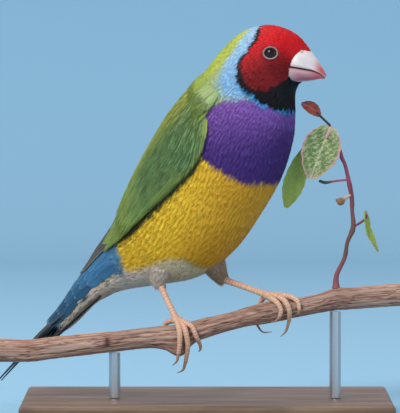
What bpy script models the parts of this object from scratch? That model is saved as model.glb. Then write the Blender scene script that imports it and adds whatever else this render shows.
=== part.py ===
# A gouldian finch on a cut length of branch, held by a flat base and two short rods.
# Lengths in the tables are millimetres, and MM turns them into metres.
# The bird faces +X and is turned toward -Y, the base lies on the floor at Z = 0.
import bpy
import bmesh
import math
import random
import numpy as np

MM = 0.001
SEED = 4
GAP = 0.3

# The bird's own directions: forward, left and up, turned about Z by HEADING.
HEADING = math.radians(36)
BIRD_X = 6.0
HEAD_TURN = math.radians(14)
TURN_AXIS = 8.0

# Body sections from the tail end to the bill: the belly point and the back point of each
# section (forward, up), its half width, where it is widest and its share of the head's turn.
STATIONS = [
    ("tail_end", -65.8, 17.4, -67.2, 19.6, 2.4, 0.50, 0.0),
    ("covert_c", -53.4, 23.9, -57.6, 28.7, 3.0, 0.50, 0.0),
    ("covert_b", -46.1, 30.1, -50.9, 36.5, 4.0, 0.50, 0.0),
    ("covert_a", -39.2, 33.6, -45.7, 42.2, 5.0, 0.50, 0.0),
    ("tail_root", -32.5, 35.4, -41.0, 47.0, 7.2, 0.50, 0.0),
    ("vent", -22.5, 37.0, -34.8, 54.0, 10.6, 0.50, 0.0),
    ("belly", -9.4, 39.6, -29.3, 61.8, 14.2, 0.48, 0.0),
    ("waist", 1.2, 46.6, -24.4, 70.4, 16.6, 0.48, 0.0),
    ("keel", 9.6, 56.6, -18.4, 79.0, 17.6, 0.48, 0.0),
    ("breast", 16.6, 67.0, -12.5, 87.0, 17.4, 0.48, 0.0),
    ("shoulder", 20.8, 77.5, -6.6, 93.6, 15.8, 0.48, 0.0),
    ("neck", 22.3, 85.0, -1.6, 100.1, 12.8, 0.48, 0.3),
    ("throat", 22.5, 88.8, 3.2, 105.5, 10.4, 0.47, 0.7),
    ("nape", 22.6, 91.0, 8.2, 109.4, 8.8, 0.50, 0.95),
    ("crown", 23.0, 92.7, 14.4, 111.1, 7.9, 0.53, 1.0),
    ("eyes", 23.8, 94.0, 19.8, 110.2, 6.7, 0.59, 1.0),
    ("face", 24.8, 94.8, 24.2, 107.9, 4.6, 0.56, 1.0),
    ("bill_root", 26.0, 95.5, 27.9, 103.9, 3.3, 0.50, 1.0),
]
CUTS = {"tail": 2.6, "rump": 5.4, "neck": 10.6, "head": 12.3}

EYE_AT = (14.17, -86.8)
EYE_RADIUS = 2.3
EYE_OUT = 0.45
LID_RADIUS = 1.95
LID_THICK = 0.34

# Bill sections: forward, lower edge, upper edge, half width.
BILL_UPPER = [
    (22.2, 99.5, 102.4, 4.5),
    (24.0, 99.4, 104.4, 5.05),
    (25.9, 99.1, 104.7, 4.85),
    (27.5, 98.8, 103.7, 4.2),
    (29.2, 98.45, 101.7, 3.15),
    (30.8, 97.7, 99.5, 1.9),
    (32.3, 96.55, 97.3, 0.5),
]
BILL_LOWER = [
    (20.6, 96.6, 99.2, 4.6),
    (22.4, 95.7, 99.15, 5.05),
    (24.4, 95.3, 99.0, 4.75),
    (26.6, 95.3, 98.6, 3.95),
    (28.8, 95.6, 98.2, 2.95),
    (30.5, 96.0, 97.55, 1.75),
    (31.9, 95.95, 96.35, 0.5),
]
NOSTRIL = (26.4, 3.1, 103.6)
NOSTRIL_SIZE = (0.6, 0.5, 0.35)

# Branch: along X, centre height and radius.
BRANCH_Y = -4.0
BRANCH = [
    (-57.5, 19.6, 3.35),
    (-48.0, 19.5, 3.2),
    (-39.5, 20.5, 3.05),
    (-28.0, 21.7, 2.95),
    (-17.0, 22.9, 2.9),
    (-10.0, 23.3, 3.2),
    (-6.5, 23.3, 3.55),
    (-2.5, 24.6, 3.05),
    (3.0, 26.2, 2.8),
    (9.0, 27.8, 2.6),
    (14.0, 29.2, 2.8),
    (20.0, 30.4, 3.05),
    (28.0, 31.8, 2.75),
    (33.0, 32.8, 2.8),
    (38.0, 34.0, 3.15),
    (43.0, 34.3, 3.1),
    (50.0, 34.8, 3.1),
    (57.5, 35.3, 3.15),
]

# Under the right foot the branch swells downward where a side shoot broke off, and it has a small knot.
FLARE_X = -4.8
FLARE_DROP = 2.3
KNOT_X = -26.0
BRANCH_RINGS = 34
BRANCH_SIDES = 14

# Leg paths as (x, y, z, radius), toe paths as (x, z, radius) laid on the branch.
ANKLE = {"right": (-11.6, 3.6, 38.2), "left": (6.3, 7.4, 39.0)}
FOOT = {"right": (-6.6, -4.6, 28.2), "left": (19.2, -3.6, 35.0)}
TOES = {
    "right": {
        "inner": [(-6.2, 27.2, 0.85), (-5.7, 25.0, 0.8), (-5.7, 21.5, 0.7), (-6.0, 19.2, 0.6)],
        "middle": [(-5.0, 27.4, 0.85), (-4.0, 25.0, 0.8), (-3.4, 21.0, 0.7), (-4.0, 16.6, 0.58)],
        "outer": [(-4.2, 27.6, 0.85), (-2.2, 26.4, 0.75), (-1.0, 23.6, 0.65), (0.0, 21.4, 0.55)],
    },
    "left": {
        "inner": [(19.6, 34.6, 0.85), (21.6, 33.2, 0.75), (22.7, 31.2, 0.65), (22.4, 29.6, 0.55)],
        "middle": [(21.2, 35.0, 0.85), (23.6, 33.8, 0.8), (25.0, 31.2, 0.7), (25.0, 27.8, 0.58)],
        "outer": [(22.6, 35.1, 0.85), (25.6, 34.7, 0.75), (27.4, 33.4, 0.65), (27.8, 31.6, 0.55)],
    },
}
CLAWS = {
    "right": {
        "inner": [(-6.1, 18.6), (-6.5, 16.8), (-7.7, 15.5)],
        "middle": [(-4.2, 15.9), (-4.8, 14.1), (-6.4, 13.2)],
        "outer": [(0.1, 20.8), (0.1, 19.9), (-0.4, 19.2)],
    },
    "left": {
        "inner": [(22.1, 29.0), (21.2, 28.0), (20.0, 27.7)],
        "middle": [(24.8, 27.2), (24.1, 25.0), (22.7, 23.5)],
        "outer": [(27.9, 31.0), (27.6, 30.2), (27.0, 29.9)],
    },
}
# The hind toe of each foot goes over the far side of the branch.
HIND = {
    "right": [(-7.6, -2.2, 27.8, 0.8), (-9.4, 0.1, 27.0, 0.75), (-10.6, 1.2, 24.6, 0.6)],
    "left": [(18.4, -1.6, 34.6, 0.8), (17.2, 0.4, 33.0, 0.7), (16.4, 0.6, 30.4, 0.58)],
}
HIND_CLAW = {
    "right": [(-10.8, 1.2, 23.9), (-10.6, 0.6, 22.2), (-9.9, -0.1, 21.0)],
    "left": [(16.2, 0.5, 29.7), (16.0, -0.4, 27.0), (17.6, -1.6, 24.6), (20.2, -3.0, 24.7)],
}

BASE_SIZE = (104.0, 66.0, 6.0)
BASE_AT = (2.0, 3.0)
ROD_RADIUS = 1.6
ROD_X = (-24.0, 38.0)

TWIG = [
    (38.2, -4.2, 37.6, 1.15),
    (38.4, -4.2, 40.8, 0.85),
    (40.6, -4.3, 45.6, 0.75),
    (41.4, -4.4, 50.0, 0.72),
    (43.0, -4.4, 54.2, 0.85),
    (42.7, -4.5, 59.0, 0.66),
    (42.5, -4.6, 63.2, 0.8),
    (40.9, -4.8, 71.0, 0.66),
    (39.7, -5.0, 74.0, 0.72),
    (38.6, -5.2, 78.2, 0.6),
    (36.6, -5.4, 82.6, 0.5),
]

# A bare leaf stalk and a dried bud on the twig.
LEAF_STALK = [(41.6, -4.8, 67.6, 0.35), (37.7, -5.2, 67.2, 0.32), (35.2, -5.2, 66.8, 0.45),
              (33.6, -5.2, 67.3, 0.4)]
OLD_BUD = [(42.9, -4.6, 63.4, 0.5), (41.6, -5.0, 63.0, 0.45), (40.4, -5.3, 62.2, 0.6),
           (39.4, -5.5, 61.5, 1.15), (38.3, -5.5, 62.0, 0.5)]

random.seed(SEED)
for old in list(bpy.data.objects):
    bpy.data.objects.remove(old, do_unlink=True)

finch = bpy.data.collections.new("gouldian_finch")
cutters = bpy.data.collections.new("cutters")
cutters.hide_render = True
bpy.context.scene.collection.children.link(finch)
bpy.context.scene.collection.children.link(cutters)
bpy.context.scene.unit_settings.system = "METRIC"


def material(name, colour, rough):
    made = bpy.data.materials.new(name)
    made.use_nodes = True
    shader = made.node_tree.nodes["Principled BSDF"]
    shader.inputs["Base Color"].default_value = (*colour, 1)
    shader.inputs["Roughness"].default_value = rough
    return made


RED = material("red_plumage", (0.45, 0.02, 0.02), 0.8)
GREEN = material("green_plumage", (0.12, 0.22, 0.05), 0.8)
YELLOW = material("yellow_plumage", (0.75, 0.38, 0.03), 0.8)
BLUE = material("blue_plumage", (0.06, 0.16, 0.3), 0.8)
CREAM = material("cream_plumage", (0.7, 0.55, 0.4), 0.8)
EYE = material("eye", (0.01, 0.008, 0.008), 0.1)
HORN = material("bill", (0.8, 0.7, 0.68), 0.35)
LEG = material("leg", (0.75, 0.42, 0.28), 0.5)
CLAW = material("claw", (0.6, 0.38, 0.26), 0.35)
BARK = material("bark", (0.35, 0.24, 0.2), 0.9)
STEM = material("stem", (0.35, 0.08, 0.12), 0.7)
LEAF = material("leaf", (0.3, 0.4, 0.12), 0.6)
WOOD = material("stand_wood", (0.3, 0.2, 0.13), 0.5)
STEEL = material("stand_steel", (0.5, 0.5, 0.52), 0.3)


def spline(table, t):
    """Rows of the table at places t, drawn as a smooth curve through them."""
    table = np.asarray(table, float)
    last = len(table) - 1
    t = np.clip(np.atleast_1d(np.asarray(t, float)), 0, last)
    i = np.minimum(t.astype(int), last - 1)
    f = (t - i)[:, None]
    one = table[i]
    two = table[i + 1]
    before = np.where((i > 0)[:, None], table[np.maximum(i - 1, 0)], 2 * one - two)
    after = np.where((i < last - 1)[:, None], table[np.minimum(i + 2, last)], 2 * two - one)
    bend = 2 * before - 5 * one + 4 * two - after
    twist = 3 * one - before - 3 * two + after
    return 0.5 * (2 * one + (two - before) * f + bend * f**2 + twist * f**3)


def bird(forward, left, up, turn=0.0):
    """World millimetres of a point given in the bird's own directions."""
    forward = np.asarray(forward, float)
    left = np.asarray(left, float)
    angle = HEAD_TURN * np.asarray(turn, float)
    ahead = TURN_AXIS + (forward - TURN_AXIS) * np.cos(angle) - left * np.sin(angle)
    aside = (forward - TURN_AXIS) * np.sin(angle) + left * np.cos(angle)
    x = BIRD_X + ahead * math.cos(HEADING) + aside * math.sin(HEADING)
    y = -ahead * math.sin(HEADING) + aside * math.cos(HEADING)
    return np.stack(np.broadcast_arrays(x, y, np.asarray(up, float)), -1)


def skin(t, phi):
    """The body's surface at station t and at phi degrees from the back, right side negative."""
    t, phi = np.broadcast_arrays(np.asarray(t, float), np.radians(np.asarray(phi, float)))
    rows = spline([row[1:] for row in STATIONS], t.ravel()).T
    belly_s, belly_z, back_s, back_z, half, widest, turn = rows
    angle = phi.ravel()
    deep_s = back_s - belly_s
    deep_z = back_z - belly_z
    share = np.where(np.cos(angle) > 0, 1 - widest, widest) * np.cos(angle) + widest
    place = bird(
        belly_s + deep_s * share,
        half * np.sin(angle),
        belly_z + deep_z * share,
        np.clip(turn, 0, 1),
    )
    return place.reshape(t.shape + (3,))


def raised(t, phi, height):
    """The body's surface moved out by height."""
    t, phi, height = np.broadcast_arrays(*(np.asarray(v, float) for v in (t, phi, height)))
    last = len(STATIONS) - 1
    along = skin(np.minimum(t + 0.05, last), phi) - skin(np.maximum(t - 0.05, 0), phi)
    around = skin(t, phi + 2) - skin(t, phi - 2)
    out = np.cross(along, around)
    out /= np.linalg.norm(out, axis=-1, keepdims=True)
    return skin(t, phi) + out * height[..., None]


def put(name, points, faces, look=None, where=finch):
    mesh = bpy.data.meshes.new(name)
    mesh.from_pydata((np.asarray(points) * MM).tolist(), [], [list(f) for f in faces])
    mesh.validate()
    form = bmesh.new()
    form.from_mesh(mesh)
    bmesh.ops.recalc_face_normals(form, faces=form.faces)
    if form.calc_volume(signed=True) < 0:
        bmesh.ops.reverse_faces(form, faces=form.faces)
    form.to_mesh(mesh)
    form.free()
    if look:
        mesh.materials.append(look)
    mesh.shade_smooth()
    mesh.set_sharp_from_angle(angle=math.radians(40))
    made = bpy.data.objects.new(name, mesh)
    where.objects.link(made)
    if where is cutters:
        made.hide_render = True
        made.display_type = "WIRE"
    return made


def loft(name, rings, look=None, where=finch, tip=False):
    """A closed body through unlike sections of the same number of points."""
    rings = np.asarray(rings, float)
    count, around = rings.shape[:2]
    faces = []
    for i in range(count - 1):
        for j in range(around):
            k = (j + 1) % around
            a = i * around + j
            b = i * around + k
            faces.append((a, b, b + around))
            faces.append((a, b + around, a + around))
    points = rings.reshape(-1, 3)
    first = points[:around].mean(axis=0)
    last = points[-around:].mean(axis=0)
    points = np.vstack([points, first, last])
    for j in range(around):
        k = (j + 1) % around
        faces.append((len(points) - 2, k, j))
        faces.append((len(points) - 1, (count - 1) * around + j, (count - 1) * around + k))
    return put(name, points, faces, look, where)


def applied(obj):
    """The object's modifiers made part of its mesh."""
    bpy.context.view_layer.update()
    graph = bpy.context.evaluated_depsgraph_get()
    mesh = bpy.data.meshes.new_from_object(obj.evaluated_get(graph))
    obj.modifiers.clear()
    obj.data = mesh
    return obj


def cut(obj, tool, operation="DIFFERENCE", solver="EXACT"):
    step = obj.modifiers.new("cut", "BOOLEAN")
    step.operation = operation
    step.solver = solver
    step.object = tool
    return applied(obj)


def fused(name, pieces, look):
    """One closed body from pieces that overlap."""
    group = bpy.data.collections.new(name + "_pieces")
    group.hide_render = True
    cutters.children.link(group)
    for piece in pieces[1:]:
        for owner in list(piece.users_collection):
            owner.objects.unlink(piece)
        group.objects.link(piece)
        piece.hide_render = True
        piece.display_type = "WIRE"
    body = pieces[0]
    step = body.modifiers.new("join", "BOOLEAN")
    step.operation = "UNION"
    step.solver = "MANIFOLD"
    step.operand_type = "COLLECTION"
    step.collection = group
    applied(body)
    for owner in list(body.users_collection):
        owner.objects.unlink(body)
    finch.objects.link(body)
    body.name = name
    body.data.name = name
    body.data.materials.clear()
    body.data.materials.append(look)
    body.hide_render = False
    body.display_type = "TEXTURED"
    largest(body)
    body.data.shade_smooth()
    body.data.set_sharp_from_angle(angle=math.radians(40))
    return body


def largest(obj):
    """Keeps only the largest closed surface of the object's mesh."""
    form = bmesh.new()
    form.from_mesh(obj.data)
    form.verts.ensure_lookup_table()
    seen = set()
    groups = []
    for start in form.verts:
        if start.index in seen:
            continue
        seen.add(start.index)
        stack = [start]
        found = []
        while stack:
            vert = stack.pop()
            found.append(vert)
            for edge in vert.link_edges:
                other = edge.other_vert(vert)
                if other.index not in seen:
                    seen.add(other.index)
                    stack.append(other)
        groups.append(found)
    groups.sort(key=len)
    for group in groups[:-1]:
        bmesh.ops.delete(form, geom=group, context="VERTS")
    bmesh.ops.triangulate(form, faces=form.faces)
    form.to_mesh(obj.data)
    form.free()


def plainer(obj, degrees):
    """Faces that lie nearly in one plane made one, then split into triangles again."""
    step = obj.modifiers.new("plainer", "DECIMATE")
    step.decimate_type = "DISSOLVE"
    step.angle_limit = math.radians(degrees)
    applied(obj)
    largest(obj)


def ring_at(t, around, shift=0.0, height=0.0):
    """A body section, moved by shift millimetres along the body."""
    phi = np.arange(around) * 360.0 / around
    place = raised(np.full(around, t), phi, height)
    if shift:
        normal = np.cross(place[around // 4] - place[0], place[around // 2] - place[0])
        normal /= np.linalg.norm(normal)
        ahead = skin(min(t + 0.1, len(STATIONS) - 1), 0) - skin(t, 0)
        if normal @ ahead < 0:
            normal = -normal
        place = place + normal * shift
    return place


def body_part(name, start, end, around, steps, look, gap_start=True, gap_end=True):
    places = np.linspace(start, end, steps)
    rings = []
    for i, t in enumerate(places):
        shift = 0.0
        if i == 0 and gap_start:
            shift = GAP / 2
        if i == steps - 1 and gap_end:
            shift = -GAP / 2
        rings.append(ring_at(t, around, shift))
    return loft(name, rings, look)


def tube(name, path, look=None, sides=8, where=finch):
    """A round rod along a path of (x, y, z, radius), made from a bevelled curve."""
    curve = bpy.data.curves.new(name, "CURVE")
    curve.dimensions = "3D"
    curve.bevel_depth = 1.0
    curve.bevel_resolution = max(0, sides // 4 - 1)
    curve.use_fill_caps = True
    line = curve.splines.new("POLY")
    line.points.add(len(path) - 1)
    for point, (x, y, z, radius) in zip(line.points, path):
        point.co = (x * MM, y * MM, z * MM, 1)
        point.radius = radius * MM
    guide = bpy.data.objects.new(name, curve)
    cutters.objects.link(guide)
    guide.hide_render = True
    bpy.context.view_layer.update()
    graph = bpy.context.evaluated_depsgraph_get()
    mesh = bpy.data.meshes.new_from_object(guide.evaluated_get(graph))
    bpy.data.objects.remove(guide, do_unlink=True)
    form = bmesh.new()
    form.from_mesh(mesh)
    bmesh.ops.remove_doubles(form, verts=form.verts, dist=1e-6)
    bmesh.ops.recalc_face_normals(form, faces=form.faces)
    form.to_mesh(mesh)
    form.free()
    mesh.materials.clear()
    if look:
        mesh.materials.append(look)
    mesh.shade_smooth()
    mesh.set_sharp_from_angle(angle=math.radians(40))
    made = bpy.data.objects.new(name, mesh)
    where.objects.link(made)
    return made


def smooth_path(rows, steps):
    return [tuple(row) for row in spline(rows, np.linspace(0, len(rows) - 1, steps))]


VANE_WIDTH = [(0.0, 0.45), (0.4, 1.0), (0.82, 0.86), (1.0, 0.14)]


def vane(start, end, half, height, rise=0.0, thick=0.5, bow=0.0):
    """One feather on the body's surface from start to end, both (t, phi)."""
    rings = []
    for f, width in VANE_WIDTH:
        t = start[0] + (end[0] - start[0]) * f
        phi = start[1] + (end[1] - start[1]) * f + bow * math.sin(math.pi * f)
        h = height + rise * f
        reach = np.linalg.norm(skin(t, phi + 1) - skin(t, phi - 1)) / 2
        spread = half * width / reach
        lean = (end[1] - start[1]) / max(abs(end[0] - start[0]), 0.1)
        deep = thick * (1.0 if f < 0.95 else 0.6)
        rings.append([
            raised(t, phi - spread, h - deep * 0.5),
            raised(t, phi, h),
            raised(t, phi + spread, h - deep * 0.5),
            raised(t, phi + spread, h - deep),
            raised(t, phi, h - deep),
            raised(t, phi - spread, h - deep),
        ])
    return loft("vane", rings, where=cutters)


# Head, neck, torso and rump are one smooth form with thin cuts across it.
tail_core = body_part("tail_core", 0.9, CUTS["tail"], 20, 6, BLUE, gap_start=False)
rump = body_part("rump", CUTS["tail"], CUTS["rump"], 28, 8, YELLOW)
torso = body_part("torso", CUTS["rump"], CUTS["neck"], 32, 15, YELLOW)
neck = body_part("neck", CUTS["neck"], CUTS["head"], 28, 6, GREEN)
head = body_part("head", CUTS["head"], 17.0, 28, 13, RED)

# Eyes, each with a ring of lid around it.
for side, sign in (("right", 1), ("left", -1)):
    t, phi = EYE_AT
    surface = raised(t, phi * sign, 0.0)
    out = raised(t, phi * sign, 1.0) - surface
    centre = surface - out * (EYE_RADIUS - EYE_OUT)
    turn = np.array([0.0, 0.0, 1.0])
    across = np.cross(turn, out)
    across /= np.linalg.norm(across)
    above = np.cross(out, across)
    rings = []
    for i in range(20):
        a = 2 * math.pi * i / 20
        line = across * math.cos(a) * 1.08 + above * math.sin(a) * 0.92
        middle = surface + line * LID_RADIUS + out * 0.02
        rings.append([
            middle + (line * math.cos(b) + out * math.sin(b)) * LID_THICK
            for b in (2 * math.pi * k / 6 for k in range(6))
        ])
    points = np.asarray(rings).reshape(-1, 3)
    faces = []
    for i in range(20):
        for j in range(6):
            a = i * 6 + j
            b = i * 6 + (j + 1) % 6
            c = ((i + 1) % 20) * 6 + (j + 1) % 6
            d = ((i + 1) % 20) * 6 + j
            faces.append((a, b, c, d))
    lid = put("lid_" + side, points, faces, where=cutters)
    cut(head, lid, "UNION")
    socket = bmesh.new()
    bmesh.ops.create_icosphere(socket, subdivisions=2, radius=(EYE_RADIUS + GAP) * MM)
    bmesh.ops.translate(socket, verts=socket.verts, vec=centre * MM)
    mesh = bpy.data.meshes.new("socket_" + side)
    socket.to_mesh(mesh)
    socket.free()
    hole = bpy.data.objects.new("socket_" + side, mesh)
    hole.hide_render = True
    hole.display_type = "WIRE"
    cutters.objects.link(hole)
    cut(head, hole)
    ball = bmesh.new()
    bmesh.ops.create_uvsphere(ball, u_segments=20, v_segments=12, radius=EYE_RADIUS * MM)
    bmesh.ops.translate(ball, verts=ball.verts, vec=centre * MM)
    mesh = bpy.data.meshes.new("eye_" + side)
    ball.to_mesh(mesh)
    ball.free()
    mesh.materials.append(EYE)
    mesh.shade_smooth()
    eye = bpy.data.objects.new("eye_" + side, mesh)
    finch.objects.link(eye)
largest(head)


def bill_half(name, table, upper, grow=0.0, where=finch):
    rings = []
    for row in spline(table, np.linspace(0, len(table) - 1, 9)):
        forward, low, high, half = row
        low -= grow
        high += grow
        half += grow
        forward -= grow if not rings else 0.0
        ring = []
        for k in range(14):
            a = 2 * math.pi * k / 14
            up = math.cos(a)
            side = half * math.copysign(abs(math.sin(a)) ** 0.8, math.sin(a))
            middle = low + (high - low) * (0.02 if upper else 0.98)
            if up > 0:
                z = middle + (high - middle) * abs(up)
            else:
                z = middle - (middle - low) * abs(up)
            ring.append(bird(forward, side, z, 1.0))
        rings.append(ring)
    return loft(name, rings, HORN, where)


cut(head, bill_half("bill_space", BILL_UPPER, True, GAP, cutters))
cut(head, bill_half("bill_space", BILL_LOWER, False, GAP, cutters))
largest(head)
bill_upper = bill_half("bill_upper", BILL_UPPER, True)
bill_half("bill_lower", BILL_LOWER, False)
for sign in (-1, 1):
    pit = bmesh.new()
    bmesh.ops.create_icosphere(pit, subdivisions=1, radius=MM)
    bmesh.ops.scale(pit, verts=pit.verts, vec=NOSTRIL_SIZE)
    place = bird(NOSTRIL[0], NOSTRIL[1] * sign, NOSTRIL[2], 1.0)
    bmesh.ops.translate(pit, verts=pit.verts, vec=place * MM)
    mesh = bpy.data.meshes.new("nostril")
    pit.to_mesh(mesh)
    pit.free()
    nostril = bpy.data.objects.new("nostril", mesh)
    nostril.hide_render = True
    nostril.display_type = "WIRE"
    cutters.objects.link(nostril)
    cut(bill_upper, nostril)
largest(bill_upper)

# The room that the body and a thin gap take up, cut from what lies against it.
body_space = loft("body_space", [ring_at(t, 32, 0.0, GAP) for t in np.linspace(2.6, 12.2, 46)],
                  where=cutters)

# Wings. A wing's own places are (along, up): 0 at the shoulder to 1 at the tip, and 0 at the
# lower edge to 1 at the upper one. Each row holds both edges as (t, phi), lower first.
WING_EDGE = [
    (9.9, -88, 10.4, -30),
    (9.3, -99, 9.9, -22),
    (8.6, -100, 9.3, -20),
    (7.95, -94, 8.6, -20),
    (7.25, -87, 7.9, -20),
    (6.6, -80, 7.2, -20),
    (5.95, -76, 6.4, -20),
    (5.25, -74, 5.6, -20),
    (4.5, -68, 4.8, -22),
    (3.6, -58, 3.9, -27),
    (2.5, -50, 2.7, -36),
]


def wing_place(along, up, height, sign):
    """A point on the wing, raised above the body's surface by height."""
    row = spline(WING_EDGE, along * (len(WING_EDGE) - 1))[0]
    t = row[0] + (row[2] - row[0]) * up
    phi = row[1] + (row[3] - row[1]) * up
    return raised(t, phi * sign, height)


def wing_vane(start, end, half, height, rise, sign, ridge=True, thick=0.5):
    """One wing feather from start to end, both (along, up)."""
    rings = []
    for f, width in VANE_WIDTH:
        along = start[0] + (end[0] - start[0]) * f
        up = start[1] + (end[1] - start[1]) * f
        h = height + rise * f
        across = wing_place(along, up + 0.02, h, sign) - wing_place(along, up - 0.02, h, sign)
        spread = half * width * 0.04 / np.linalg.norm(across)
        deep = thick * (1.0 if f < 0.95 else 0.6)
        low = max(up - spread, 0.0)
        high = min(up + spread, 1.0)
        middle = (low + high) / 2
        if ridge:
            ring = [
                wing_place(along, low, h - deep * 0.4, sign),
                wing_place(along, middle, h, sign),
                wing_place(along, high, h - deep * 0.4, sign),
                wing_place(along, high, h - deep, sign),
                wing_place(along, middle, h - deep, sign),
                wing_place(along, low, h - deep, sign),
            ]
        else:
            ring = [
                wing_place(along, low, h - deep * 0.2, sign),
                wing_place(along, high, h - deep * 0.2, sign),
                wing_place(along, high, h - deep, sign),
                wing_place(along, low, h - deep, sign),
            ]
        rings.append(ring)
    return loft("vane", rings, where=cutters)


# Tiers of wing feathers: how many, along at root and tip, up at the first and last feather's
# root and tip, half width, height of the first feather, step between them, rise to the tip.
WING_TIERS = [
    ("primaries", 6, (0.46, 0.56), (0.99, 0.88), (0.12, 0.45), (0.35, 0.6), 1.7, 0.95, 0.06, 0.25),
    ("secondaries", 5, (0.34, 0.36), (0.74, 0.68), (0.1, 0.5), (0.1, 0.48), 2.2, 1.15, 0.08, 0.0),
    ("tertials", 3, (0.32, 0.3), (0.8, 0.6), (0.42, 0.8), (0.4, 0.82), 3.0, 1.4, 0.12, 0.0),
    ("greater", 5, (0.2, 0.22), (0.46, 0.42), (0.08, 0.92), (0.08, 0.92), 3.0, 1.45, 0.07, 0.05),
    ("median", 4, (0.11, 0.12), (0.29, 0.28), (0.1, 0.9), (0.1, 0.9), 3.6, 1.2, 0.06, 0.45),
    ("lesser", 4, (0.02, 0.04), (0.17, 0.17), (0.14, 0.86), (0.14, 0.86), 4.4, 0.95, 0.05, 0.65),
]
for side, sign in (("right", 1), ("left", -1)):
    rings = []
    for along in np.linspace(0.0, 0.7, 9):
        columns = np.linspace(0.02, 1, 8)
        edge = min(1.0, along / 0.08)
        round_off = np.sqrt(np.clip(1 - np.linspace(-1, 1, 8) ** 2, 0, 1))
        top = [wing_place(along, up, 0.45 + 0.5 * edge * (0.3 + 0.7 * r), sign)
               for up, r in zip(columns, round_off)]
        bottom = [wing_place(along, up, 0.35, sign) for up in columns[::-1]]
        rings.append(top + bottom)
    pieces = [loft("bed", rings, where=cutters)]
    for tier, count, root, tip, root_up, tip_up, half, height, step, rise in WING_TIERS:
        for i in range(count):
            f = i / (count - 1)
            start = (root[0] + (root[1] - root[0]) * f, root_up[0] + (root_up[1] - root_up[0]) * f)
            end = (tip[0] + (tip[1] - tip[0]) * f, tip_up[0] + (tip_up[1] - tip_up[0]) * f)
            long_one = tier in ("primaries", "secondaries", "tertials")
            pieces.append(
                wing_vane(start, end, half, height + step * i, rise, sign, ridge=long_one)
            )
    wing = fused("wing_" + side, pieces, GREEN)
    cut(wing, body_space)
    largest(wing)
    plainer(wing, 3)

# Tail: a core of coverts, tail feathers in a stack, and two long middle filaments.
pieces = [tail_core]


def free_vane(path, side, up, half, thick=0.5):
    """One feather along a free path, with its side and up directions."""
    path = np.asarray(path, float)
    rings = []
    for f, width in VANE_WIDTH:
        place = spline(path, f * (len(path) - 1))[0]
        wide = side * half * width
        deep = up * thick * (1.0 if f < 0.95 else 0.6)
        rings.append([
            place - wide - deep * 0.5,
            place,
            place + wide - deep * 0.5,
            place + wide - deep,
            place - deep,
            place - wide - deep,
        ])
    return loft("vane", rings, where=cutters)


TAIL_START = np.array([-50.0, 31.6])
TAIL_END = np.array([-66.8, 18.4])
run = (TAIL_END - TAIL_START) / np.linalg.norm(TAIL_END - TAIL_START)
tail_up = bird(-run[1], 0, run[0]) - bird(0, 0, 0)
if tail_up[2] < 0:
    tail_up = -tail_up
tail_side = bird(0, 1, 0) - bird(0, 0, 0)
for i in range(5):
    for sign in (1, -1):
        lateral = sign * (0.35 + 0.42 * i)
        length = 1.0 - 0.045 * i
        low = -0.42 * i
        path = []
        for f in (0.0, 0.5, 1.0):
            place = TAIL_START + (TAIL_END - TAIL_START) * f * length
            middle = bird(place[0], lateral * (0.8 + 1.0 * f), place[1])
            path.append(middle + tail_up * (1.0 + low))
        pieces.append(free_vane(path, tail_side, tail_up, 1.6))
for sign, reach, drop in ((-1, 1.0, 0.0), (1, 0.93, 0.5)):
    path = []
    for s, z in ((-56.0, 27.4), (-65.0, 20.4), (-74.0, 12.4), (-82.0, 5.2)):
        place = bird(-56 + (s + 56) * reach, sign * (0.5 + drop), 27.4 + (z - 27.4) * reach)
        path.append((*place, 0.0))
    radii = (0.9, 0.75, 0.5, 0.26)
    rows = [(*p[:3], r) for p, r in zip(path, radii)]
    rows = [tuple(r) for r in spline(rows, np.linspace(0, 3, 7))]
    pieces.append(tube("filament", rows, sides=8, where=cutters))
# Coverts on the upper side in tiers, each row over the next.
for row, t in enumerate((4.1, 3.5, 2.95, 2.4, 1.9)):
    for i in range(5):
        phi = -64 + 32 * i + (16 if row % 2 else 0)
        if phi > 70:
            continue
        end = (t - 1.25, phi * 0.9)
        start = (min(t, 2.35), phi)
        if t > 2.35:
            start = (2.35, phi)
        if end[0] < start[0] - 0.3:
            pieces.append(vane(start, end, 1.9 - 0.2 * row, 0.5, 0.25))
tail = fused("tail", pieces, BLUE)
plainer(tail, 5)

# Branch.
branch_places = np.linspace(0, len(BRANCH) - 1, BRANCH_RINGS)


def branch_ring(x, z, r, sides, grow=0.0):
    """One section of the branch, or one that lies outside it by grow."""
    ring = []
    for k in range(sides):
        a = 2 * math.pi * k / sides
        rough = 1 + 0.02 * math.sin(5 * a + x * 0.11) + 0.015 * math.sin(9 * a - x * 0.07)
        along = (x - FLARE_X) / (4.2 if x < FLARE_X else 2.4)
        flare = FLARE_DROP * math.exp(-along**2) * max(0.0, -math.sin(a)) ** 3
        knot = 0.45 * math.exp(-(((x - KNOT_X) / 1.8) ** 2)) * max(0.0, -math.cos(a + 0.3)) ** 6
        reach = r * rough + flare + knot + grow
        ring.append((x, BRANCH_Y + reach * math.cos(a), z + reach * math.sin(a)))
    return ring


perch = loft("perch", [branch_ring(x, z, r, BRANCH_SIDES) for x, z, r in spline(BRANCH, branch_places)], BARK)


def branch_at(x):
    xs = [row[0] for row in BRANCH]
    return spline(BRANCH, np.interp(x, xs, range(len(xs))))[0]


def on_branch(x, z, radius):
    """How far forward a toe of this radius lies where it rests on the front of the branch."""
    ring = np.array(branch_ring(*branch_at(x), 90))[:, 1:]
    for y in np.arange(BRANCH_Y - 1.0, BRANCH_Y - 9.0, -0.05):
        outside = y < ring[np.abs(ring[:, 1] - z) < 0.6, 0].min(initial=0.0)
        if outside and np.hypot(*(ring - (y, z)).T).min() > radius + GAP:
            return y
    return BRANCH_Y - 9.0


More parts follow.
